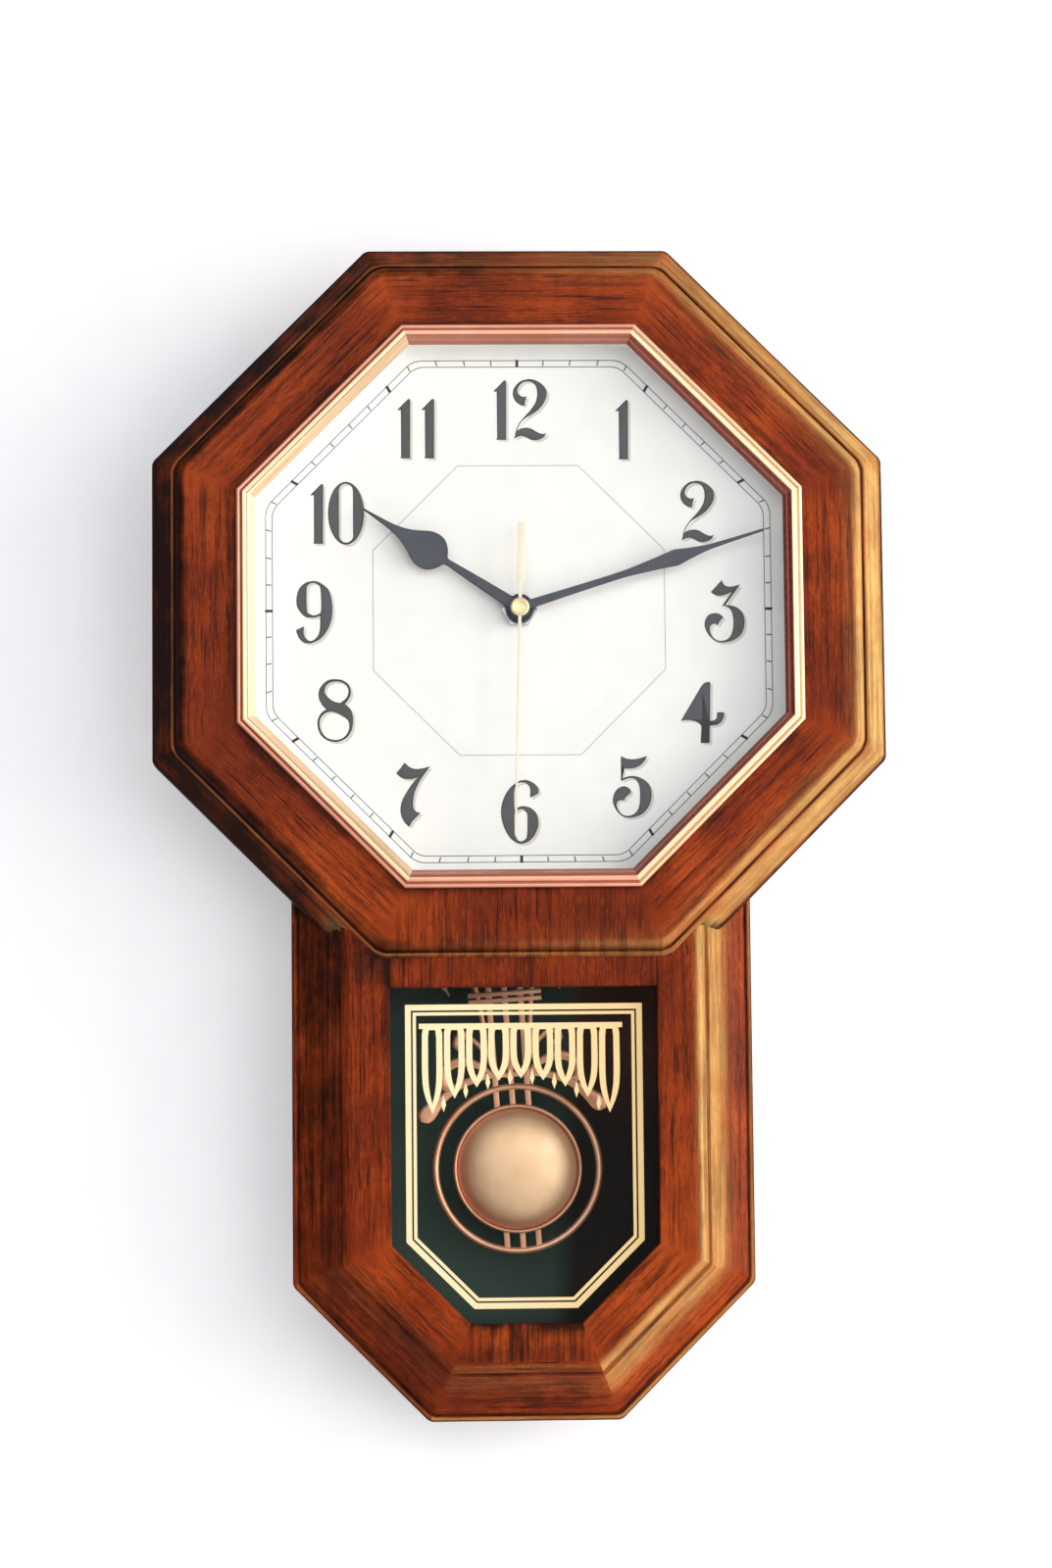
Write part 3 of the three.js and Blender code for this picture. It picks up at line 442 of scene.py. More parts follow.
def metal_with_painted_shade(name, base, worn, dark, roughness, metal, scale=700.0, bump=0.05, pale=None):
    """Plated metal, darkened with painted shade where the tone attribute's red is marked.

    Where the attribute's green is marked, it has the pale colour of a painted highlight.
    """
    shader = Shader(name)
    where = shader.where()
    parts = shader.tone()
    drift = shader.noise(where, scale=scale * 0.08, detail=4)
    fine = shader.noise(where, scale=scale)
    colour = shader.mix(shader.remap(drift, 0.35, 0.65, 0.0, 1.0), srgb(*base), srgb(*worn))
    if pale:
        colour = shader.mix(parts["Green"], colour, srgb(*pale))
    darkness = shader.maths("MULTIPLY", parts["Red"], shader.remap(fine, 0.3, 0.6, 0.9, 1.0))
    colour = shader.mix(darkness, colour, srgb(*dark))
    shader.set(colour=colour, metal=metal, normal=shader.bump(fine, bump, 0.00004),
               roughness=shader.remap(fine, 0.3, 0.7, roughness - 0.04, roughness + 0.05))
    return shader.material


def card_with_painted_shadow():
    """Dark green card with a painted shadow on its right-hand side, past a slanting edge, where it turns
    to a brownish black, and a painted brownish reflection over the upper part of that side.
    """
    shader = Shader("backing_card")
    where = shader.where()
    split = shader.node("SeparateXYZ", {0: where}).outputs
    slant = shader.node("Math", {0: split["Z"], 1: CARD_SHADOW_SLANT}, operation="MULTIPLY").outputs[0]
    across = shader.node("Math", {0: split["X"], 1: slant}, operation="ADD").outputs[0]
    fine = shader.noise(where, scale=2200.0)
    coarse = shader.noise(where, scale=60.0)
    green = shader.mix(fine, srgb(76, 98, 87), srgb(58, 78, 69))
    # The painted shadow's colour, and the painted reflection's in its upper part
    dark = shader.mix(coarse, srgb(28, 26, 24), srgb(42, 34, 27))
    painted_reflection = shader.mix(coarse, srgb(60, 36, 24), srgb(112, 62, 36))
    dark = shader.mix(shader.remap(split["Z"], CARD_REFLECTION_FOOT, CARD_REFLECTION_FOOT + 0.04, 0.0, 1.0), dark, painted_reflection)
    colour = shader.mix(shader.remap(across, CARD_SHADOW_EDGE - 0.005, CARD_SHADOW_EDGE + 0.004, 0.0, 1.0), green, dark)
    shader.set(colour=colour, roughness=0.85, normal=shader.bump(fine, 0.2, 0.0001))
    return shader.material


def gold_print():
    """Pale gold ink, with painted shading that makes it a little deeper towards the right."""
    shader = Shader("print_gold")
    where = shader.where()
    split = shader.node("SeparateXYZ", {0: where}).outputs
    fine = shader.noise(where, scale=1600.0)
    pale = shader.mix(fine, srgb(254, 234, 190), srgb(248, 224, 176))
    deep = shader.mix(fine, srgb(238, 206, 144), srgb(228, 194, 130))
    shader.set(colour=shader.mix(shader.remap(split["X"], -0.03, 0.045, 0.0, 1.0), pale, deep),
               roughness=shader.remap(fine, 0.3, 0.7, 0.38, 0.46), normal=shader.bump(fine, 0.05, 0.00005))
    return shader.material


def clear_glass(name):
    """Thin clear glass, a lone surface node whose values are plain constants."""
    shader = Shader(name)
    shader.set(colour=(0.02, 0.03, 0.025, 1), alpha=0.035, roughness=0.03, specular=0.6, coat=1.0,
               coat_roughness=0.02)
    return shader.material


# Where the card's painted shadow begins and how it slants, and the height above which its painted reflection
# lies
CARD_SHADOW_SLANT = -0.05
CARD_SHADOW_EDGE = 0.035
CARD_REFLECTION_FOOT = AXIS_Z - 0.205
MAHOGANY = coated_wood()
CASE_WOOD_UP = plain_wood("case_wood_upright", (58, 30, 18), (92, 50, 28), (30, 15, 10), 0.6)
CASE_WOOD_LEVEL = plain_wood("case_wood_level", (58, 30, 18), (92, 50, 28), (30, 15, 10), 0.6,
                             along=(0.05, 1, 1))
HARDBOARD = speckled("hardboard", (132, 98, 63), (118, 86, 54), 0.85, scale=3000, bump=0.5,
                     spread=0.12)
DIAL_WHITE = speckled("dial_enamel", (250, 250, 247), (244, 245, 243), 0.42, scale=1400, bump=0.03)
PRINT_BLACK = speckled("print_black", (20, 22, 24), (30, 32, 34), 0.55, scale=2500)
PRINT_SLATE = speckled("print_slate", (66, 70, 70), (76, 77, 84), 0.5, scale=1200)
PRINT_SHADOW = speckled("print_shadow", (216, 214, 206), (206, 206, 202), 0.6, scale=2500)
PRINT_GREY = speckled("print_grey", (92, 97, 96), (80, 84, 84), 0.6, scale=2500)
PRINT_PALE = speckled("print_pale", (190, 195, 192), (180, 185, 182), 0.6, scale=2500)
PRINT_GOLD = gold_print()
CARD = card_with_painted_shadow()
BEZEL_COPPER = metal_with_painted_shade("bezel_copper", (236, 172, 144), (230, 160, 130), (112, 14, 5), 0.38,
                              metal=0.55, bump=0.01, pale=(247, 226, 182))
ROSE_COPPER = metal_with_painted_shade("rose_copper", (248, 192, 156), (230, 164, 124), (70, 24, 14), 0.36,
                             metal=0.62, bump=0.01)
BOB_GOLD = metal_with_painted_shade("bob_gold", (247, 211, 170), (240, 200, 158), (166, 78, 44), 0.48, metal=0.62,
                          scale=1400)
HAND_SLATE = speckled("hand_slate", (60, 63, 74), (70, 73, 82), 0.42, metal=0.3, scale=1500)
HAND_EDGE = speckled("hand_edge", (16, 17, 20), (24, 25, 28), 0.4, metal=0.3, scale=1500)
IVORY = speckled("ivory_paint", (243, 238, 214), (238, 231, 202), 0.4, scale=1500)
CAP_GOLD = speckled("cap_gold", (240, 226, 180), (232, 214, 160), 0.4, metal=0.55, scale=2500)
GLASS = clear_glass("clear_glass")
STEEL = speckled("zinc_steel", (196, 198, 202), (170, 172, 178), 0.3, metal=1.0, scale=900,
                 stretch=(1, 1, 6))
BRASS = speckled("turned_brass", (226, 190, 112), (206, 166, 88), 0.25, metal=1.0, scale=1800)
BLACK_PLASTIC = speckled("black_plastic", (26, 26, 28), (34, 34, 36), 0.5, scale=2600, bump=0.25)
WHITE_PLASTIC = speckled("white_plastic", (236, 235, 228), (224, 222, 212), 0.42, scale=1800)
COPPER_WIRE = speckled("copper_winding", (186, 98, 50), (150, 70, 34), 0.32, metal=0.9, scale=1200,
                       stretch=(1, 1, 8), bump=0.6)
MAGNET = speckled("magnet_steel", (110, 110, 116), (86, 86, 92), 0.35, metal=0.9, scale=1500)
CIRCUIT = speckled("circuit_green", (30, 96, 56), (22, 74, 42), 0.4, scale=700, coat=0.3)
BATTERY = speckled("battery_sleeve", (44, 74, 132), (34, 58, 110), 0.3, metal=0.3, scale=900, coat=0.4)


# ---- Wooden rails ----
def ovolo(inset, depth, width, height, steps=10):
    return [(inset + width * (1 - math.cos(math.pi / 2 * i / steps)),
             depth - height * math.sin(math.pi / 2 * i / steps)) for i in range(steps + 1)]


RAIL_BACK = 34
HEAD_FACE = 4
DROP_FACE = 10.5
BEAD_APOTHEM = 135.8
WINDOW_INSET = 38.2
WINDOW_REBATE = 33.7
WINDOW_TOP = -147.3
WINDOW_LIP_BACK = 14.7
DROP_EDGE_FRONT = 28.6
ENVELOPE_FOOT = -170
HEAD_GAP = 0.06  # between the head's rails and the drop's

HEAD_SECTION = [
    (0, RAIL_BACK), (0, 27), *spline([
        (0, 21.5), (0.4, 20.2), (1.4, 18.7), (2.8, 16.9), (4.4, 14.6), (5.8, 12.6), (7.2, 10.5), (8, 9.5),
        (8.6, 9), (9, 9), (9.2, 9.4), (9.3, 9.9)], 3),
    (9.8, 9.9), *ovolo(9.9, 8.6, 4.1, 4.6),
    *[(14.6 + 2.1 * i, HEAD_FACE) for i in range(10)], (35, HEAD_FACE), (36.6, HEAD_FACE),
    (37, HEAD_FACE + 0.4), (37, 18.5), (30, 18.5), (30, RAIL_BACK),
]
DROP_EDGE = spline([
    (0, 30.3), (0.15, 29.4), (0.6, 28.8), (1.2, 28.6), (1.8, 28.8), (2.2, 29.3)], 3)
DROP_MOULDING = [
    *spline([(2.9, 28.3), (6, 26.5), (9.5, 23.8), (13, 20.6), (16, 17.3), (17.4, 15.5), (18.1, 14.5)], 3),
    (18.4, 14.8), (19.2, 14.8), *ovolo(19.4, 13.7, 4.4, 3.2),
]
DROP_SECTION = [
    (0, RAIL_BACK), *DROP_EDGE, (2.7, 29.3), *DROP_MOULDING,
    *[(24.8 + 2.0 * i, DROP_FACE) for i in range(7)], (WINDOW_INSET - 0.4, DROP_FACE),
    (WINDOW_INSET, DROP_FACE + 0.4), (WINDOW_INSET, WINDOW_LIP_BACK), (WINDOW_REBATE, WINDOW_LIP_BACK),
    (WINDOW_REBATE, RAIL_BACK),
]


def store_tone(mesh, colours, domain="POINT"):
    """The tone attribute, which the stained and plated materials read."""
    tones = mesh.attributes.new("tone", "FLOAT_COLOR", domain)
    for point, colour in zip(tones.data, colours):
        point.color = (*colour, 1)


def peak(value, middle, width):
    return math.exp(-((value - middle) / width) ** 2)


def plateau(value, low, high, soft):
    """1 between low and high, falling to 0 outside them over the soft width."""
    return 1 / (1 + math.exp((low - value) / soft)) / (1 + math.exp((value - high) / soft))


def head_tone(inset, facing):
    """How dark and how pale the head's moulding is painted, at an inset from its outline.

    facing runs from -1 on the left to 1 on the right. The darkening is mostly painted shade: at the
    outline's edge, in the quirk and over the moulding, most of all on the left, where it is nearly black.
    It is also darker beside the bezel. The pale gold is a painted highlight on the right, with a little
    worn wood.
    """
    shade, sun = max(0, -facing), max(0, facing)
    moulding = plateau(inset, -5, 13.6, 0.7)
    # Painted shade at the outline's edge and in the quirk, and darker beside the bezel
    dark = 0.95 * peak(inset, 0, 0.9) + 0.45 * peak(inset, 9.2, 0.45)
    dark += (0.74 + 0.12 * shade - 0.12 * sun) * peak(inset, 37, 4.8)
    dark += moulding * (0.24 + 0.6 * shade - 0.24 * sun)
    dark *= 1 - 0.75 * (1 - sun) * peak(inset, 8.5, 0.55)
    # Painted golden highlight on the right, and a pale crest line, partly worn wood and partly painted
    # highlight
    tone_and_shading = plateau(inset, 1.3, 8.1, 0.3) + plateau(inset, 9.9, 13, 0.45) + 0.16 * plateau(inset, 13, 17, 1)
    wear_and_highlight = (0.1 + 0.88 * sun - 0.1 * shade) * tone_and_shading + 0.3 * (1 - sun) * peak(inset, 8.5, 0.6)
    return min(dark, 1), min(wear_and_highlight, 1)


def drop_tone(inset, facing):
    """The same for the drop: painted shade at its edges, in the quirk and over the hollow moulding, most
    on the left, and darker at the window's edge. A painted golden highlight on the right makes the hollow
    paler towards the face, and a pale line on the outer bead is partly worn wood and partly painted
    highlight.
    """
    shade, sun = max(0, -facing), max(0, facing)
    # Painted shade at the edges, in the quirk and over the hollow; darker at the window's edge
    dark = 0.75 * peak(inset, 0, 0.5) + 0.55 * peak(inset, 2.5, 0.6) + 0.6 * peak(inset, 18.9, 0.45)
    dark += 0.36 * peak(inset, 38.2, 2.2) + plateau(inset, 3, 18.5, 0.6) * (0.2 + 0.2 * shade - 0.2 * sun)
    # Pale bead line, partly worn wood and partly painted highlight; painted golden highlight on the right
    wear_and_highlight = 0.5 * peak(inset, 1.2, 0.6) * (1 - shade)
    wear_and_highlight += (0.1 + 0.8 * sun - 0.1 * shade) * (plateau(inset, 12.5, 18.4, 1.3) + peak(inset, 21.4, 1.7))
    return min(dark, 1), min(wear_and_highlight, 1)


# Where each rail's mesh is cut across: distances from its mitres, and equal parts between them
CORNER_STATIONS = (0, 0.35, 0.8, 1.4, 2.2, 3.2, 5)
MIDDLE_STATIONS = 9
OUTLINE_RADIUS = 4.0
RADIUS_GROWTH = 0.5
ROUNDEST_INSET, SHARP_INSET = 12.0, 20.0  # where the corners are roundest, and where they are sharp
BACK_STAIN = 0.35  # how dark the rails' backs are
MITRE_REACH = 4.0  # how far from a mitre the grain is quiet
HEAD_SHADE = 16.0  # how far below the head the painted shade on the left-hand rail reaches
FACE_DARKENING = {"drop_wood_bottom": 0.34}  # rails whose faces are darker than the others
FACE_START, FACE_END = 24.0, 40.0  # the insets between which the drop's face lies
grain_seeds = iter(range(613, 100000, 613))


def corner_offset(inset, station):
    """How far a rounded corner pulls the moulding in, at a station from the mitre, and its reach."""
    radius = OUTLINE_RADIUS + RADIUS_GROWTH * min(inset, ROUNDEST_INSET)
    radius *= min(1.0, max(0.0, (SHARP_INSET - inset) / (SHARP_INSET - ROUNDEST_INSET)))
    short = max(0.0, radius * TAN_MITRE - station)
    return radius - math.sqrt(radius * radius - short * short)


def rail(name, section, start, end, turns, tone, grain_up=None, stop_at=None, round_axis=False):
    """A moulded rail from start to end, mitred for the turns at its ends, with grain and tone stored.

    grain_up(inset) says where the figure runs across the rail. stop_at(x) is the height at which an
    upright rail ends under the head. With round_axis, the tone turns smoothly about the hands' axis
    instead of changing at the mitres.
    """
    start, end = Vector(start), Vector(end)
    along = (end - start).normalized()
    inward = Vector((-along.y, along.x))
    length = (end - start).length
    slopes = [math.tan(turn / 2) for turn in turns]
    steps = [(0, station) for station in CORNER_STATIONS]
    steps += [(None, i / MIDDLE_STATIONS) for i in range(1, MIDDLE_STATIONS)]
    steps += [(1, station) for station in reversed(CORNER_STATIONS)]

    def flat_point(inset, side, step):
        ends = (inset * slopes[0], length - inset * slopes[1])
        moved = 0.0
        if side is None:
            low, high = ends[0] + CORNER_STATIONS[-1], ends[1] - CORNER_STATIONS[-1]
            run = low + (high - low) * step
        else:
            if turns[side]:
                moved = corner_offset(inset, step)
            inwards = moved * slopes[side] + step
            run = ends[0] + inwards if side == 0 else ends[1] - inwards
        flat = start + inward * (inset + moved) + along * run
        if stop_at:
            flat.y = min(flat.y, stop_at(flat.x))
        return flat, run

    vertices, runs, shade_under_head = [], [], []
    for side, step in steps:
        for inset, depth in section:
            flat, run = flat_point(inset, side, step)
            vertices.append(place(*flat, depth))
            runs.append(run)
            shade_under_head.append(math.exp((flat.y - stop_at(flat.x)) / HEAD_SHADE) if stop_at else 0)
    count = len(section)
    mesh = mesh_of(name, vertices, tube_faces(count, len(steps)))
    lengths = [0.0]
    for a, b in zip(section, section[1:]):
        lengths.append(lengths[-1] + math.dist(a, b))
    seed = next(grain_seeds)
    face_darkening = FACE_DARKENING.get(name, 0)
    grain = mesh.uv_layers.new(name="grain")
    for polygon in mesh.polygons:
        columns = [mesh.loops[k].vertex_index % count for k in polygon.loop_indices]
        middle = sum(section[column][0] for column in columns) / len(columns)
        upright = grain_up and grain_up(middle)
        for k, column in zip(polygon.loop_indices, columns):
            pair = (runs[mesh.loops[k].vertex_index] + seed, lengths[column] + seed)
            grain.data[k].uv = pair[::-1] if upright else pair
    tones = []
    for index, vertex in enumerate(vertices):
        inset, depth = section[index % count]
        from_axis = vertex - place(0, 0, 0)
        ends = (runs[index] - inset * slopes[0], length - inset * slopes[1] - runs[index])
        mitres = [max(distance, 0) for distance, turn in zip(ends, turns) if turn]
        quiet = math.exp(-min(mitres) / MITRE_REACH) if mitres else 0
        facing = math.sin(math.atan2(from_axis.x, from_axis.z)) if round_axis else -inward.x
        dark, wear_and_highlight = tone(inset, facing) if depth < RAIL_BACK else (BACK_STAIN, 0)
        # Painted shade under the head, on the left-hand rail
        dark += 0.6 * max(0, -facing) * shade_under_head[index]
        dark += face_darkening * plateau(inset, FACE_START, FACE_END, 0.8)
        tones.append((min(dark, 1), wear_and_highlight, quiet))
    store_tone(mesh, tones)
    return mesh


def edges_of(outline):
    """Each edge of a closed outline with the turns at its two ends."""
    count = len(outline)
    following = [*outline[1:], outline[0]]
    headings = [math.atan2(z1 - z0, x1 - x0) for (x0, z0), (x1, z1) in zip(outline, following)]
    turns = [math.remainder(headings[i] - headings[i - 1], math.tau) for i in range(count)]
    return [(outline[i], following[i], (turns[i], turns[(i + 1) % count])) for i in range(count)]


def head_boundary(apothem):
    """The height of the head's lower boundary over each x."""
    flat_half = apothem * TAN_MITRE
    return lambda x: -apothem if abs(x) < flat_half else -(apothem * math.sqrt(2) - abs(x))


def subtract(mesh, tools):
    """The mesh with the tools' volumes taken off it."""
    holder = linked("cutting", mesh)
    cutters = [linked("cutter", tool) for tool in tools]
    for cutter in cutters:
        boolean = holder.modifiers.new("cut", "BOOLEAN")
        boolean.operation = "DIFFERENCE"
        boolean.solver = "EXACT"
        boolean.object = cutter
    made = evaluated(holder)
    for used in [holder, *cutters]:
        bpy.data.objects.remove(used)
    return made


def recalculated(mesh):
    """The mesh with all its faces turned outwards."""
    with editing(mesh) as work:
        bmesh.ops.recalc_face_normals(work, faces=work.faces)
    return mesh


def drop_envelopes():
    """The space of the drop's side rails, filled to the middle, under the head's lower rails."""
    middle = DROP_HALF_WIDTH + 1
    corner = DROP_HALF_WIDTH - BEAD_APOTHEM * TAN_MITRE
    section = [
        (-HEAD_GAP, RAIL_BACK + 1), (-HEAD_GAP, DROP_EDGE_FRONT - HEAD_GAP),
        *[(inset - HEAD_GAP, depth - HEAD_GAP) for inset, depth in DROP_MOULDING],
        (corner, DROP_FACE - HEAD_GAP), (middle, DROP_FACE - HEAD_GAP), (middle, RAIL_BACK + 1),
    ]
    boundary = head_boundary(BEAD_APOTHEM)
    made = []
    for sign in (-1, 1):
        upper = [place(sign * (inset - DROP_HALF_WIDTH), boundary(DROP_HALF_WIDTH - inset), depth)
                 for inset, depth in section]
        lower = [place(sign * (inset - DROP_HALF_WIDTH), ENVELOPE_FOOT, depth) for inset, depth in section]
        made.append(recalculated(mesh_of("envelope", upper + lower, tube_faces(len(section), 2))))
    return made


def wooden_head():
    names = ["top", "top_left", "left", "bottom_left", "bottom", "bottom_right", "right", "top_right"]
    for name, (start, end, turns) in zip(names, edges_of(octagon(HEAD_APOTHEM))):
        up = (lambda inset: True) if name == "bottom" else None
        mesh = rail("head_wood_" + name, HEAD_SECTION, start, end, turns, head_tone, up, round_axis=True)
        if name.startswith("bottom"):
            mesh = subtract(recalculated(mesh), drop_envelopes())
        piece("head_wood_" + name, mesh, "case", MAHOGANY, ["head_rail_" + name])


def drop_outline():
    """The drop's outline, from its left side's top round to its right side's, with cut lower corners."""
    side = [(DROP_HALF_WIDTH, DROP_TOP), (DROP_HALF_WIDTH, DROP_BOTTOM + DROP_CHAMFER),
            (DROP_HALF_WIDTH - DROP_CHAMFER, DROP_BOTTOM)]
    return [(-x, z) for x, z in side] + side[::-1]


def wooden_drop():
    names = ["left", "bottom_left", "bottom", "bottom_right", "right"]
    boundary = head_boundary(BEAD_APOTHEM + HEAD_GAP)
    for name, (start, end, turns) in zip(names, edges_of(drop_outline())):
        if name == "left":
            turns = (0, turns[1])
        if name == "right":
            turns = (turns[0], 0)
        stop_at = boundary if name in ("left", "right") else None
        up = (lambda inset: inset > FACE_START) if name == "bottom" else None
        mesh = rail("drop_wood_" + name, DROP_SECTION, start, end, turns, drop_tone, up, stop_at)
        piece("drop_wood_" + name, mesh, "case", MAHOGANY, ["drop_rail_" + name])
    top = -BEAD_APOTHEM - HEAD_GAP
    lip = top - WINDOW_TOP
    rebate = lip - (WINDOW_INSET - WINDOW_REBATE)
    section = [(0, DROP_FACE), (lip / 3, DROP_FACE), (lip * 2 / 3, DROP_FACE), (lip - 0.4, DROP_FACE),
               (lip, DROP_FACE + 0.4), (lip, WINDOW_LIP_BACK), (rebate, WINDOW_LIP_BACK),
               (rebate, RAIL_BACK), (0, RAIL_BACK)]
    half = DROP_HALF_WIDTH - WINDOW_INSET - HEAD_GAP

    def tone(inset, facing):
        # Darker along the window's edge, and painted shade under the head's edge at inset 0
        return 0.4 * peak(inset, lip, 1.2) + 0.35 * peak(inset, 0, 1.5), 0.0

    mesh = rail("drop_wood_top", section, (half, top), (-half, top), (0, 0), tone, lambda inset: True)
    piece("drop_wood_top", mesh, "case", MAHOGANY, ["drop_rail_top"])


# ---- Bezel ----
def bezel_tone(inset, facing):
    """How dark and how pale the copper is painted, as painted shade and highlight.

    The groove behind the rim and the rim's edge get painted shade, most of all on the left. The inner
    slope is a painted pale highlight on the left and painted dark red shade on the right, with a painted
    highlight line along its middle.
    """
    shade, sun = max(0, -facing), max(0, facing)
    dark = 0.7 * peak(inset, 0, 0.2) + (0.75 + 0.25 * shade - 0.5 * sun) * peak(inset, 2.15, 0.32)
    dark += 0.6 * peak(inset, 4.28, 0.16)
    slope = plateau(inset, 4.4, 8, 0.06) * (1 - 0.4 * peak(inset, 5.9, 0.2))
    dark += slope * (0.6 + 0.4 * sun - 0.6 * shade)
    pale = shade * plateau(inset, 2.3, 8, 0.1) + sun * plateau(inset, 0.3, 4.2, 0.1)
    return max(0, min(dark, 1)), min(pale, 1)


def bezel():
    """The octagonal copper ring: rounded rim, fine line, tread, riser and inner lip."""
    apothem, back = 109.5, 3.7
    runs = [
        [(0, back), (0, 1.5)], [(0, 1.5), (0.3, 0.9), (0.9, 0.62), (1.4, 0.8), (1.75, 1.35)],
        [(1.75, 1.35), (2.4, 0.2)], [(2.4, 0.2), (2.7, 0.06), (3.4, 0.03), (4.1, 0.06)],
        [(4.1, 0.06), (4.22, 0.5)], [(4.22, 0.5), (4.45, 0.5)], [(4.45, 0.5), (4.6, 0.3)],
        [(4.6, 0.3), (5.1, 0.8), (5.8, 2.0), (6.5, 3.5)], [(6.5, 3.5), (7.2, 4.6)],
        [(7.2, 4.6), (7.2, 5.8)], [(7.2, 5.8), (4, 5.8)], [(4, 5.8), (4, back)],
    ]
    section = [point for run in runs for point in spline(run, 4)[:-1]]
    count = len(section)
    vertices = [place(*polar((apothem - inset) / math.cos(math.pi / 8), 22.5 + 45 * k), depth)
                for k in range(8) for inset, depth in section]
    mesh = mesh_of("bezel_ring", vertices, tube_faces(count, 8)[2:] + [
        [7 * count + i, 7 * count + (i + 1) % count, (i + 1) % count, i] for i in range(count)])
    tones = {}
    for polygon in mesh.polygons:
        facing = Vector((polygon.center.x, polygon.center.z - AXIS_Z)).normalized().x
        for k in polygon.loop_indices:
            inset = section[mesh.loops[k].vertex_index % count][0]
            tones[k] = (*bezel_tone(inset, facing), 0)
    store_tone(mesh, [tones[k] for k in range(len(mesh.loops))], "CORNER")
    piece("bezel_ring", mesh, "case", BEZEL_COPPER, ["bezel"], sharp=40)


# ---- Dial print ----
DIAL_FACE = 18.8
PRINT = 0.04  # thickness of one printed layer

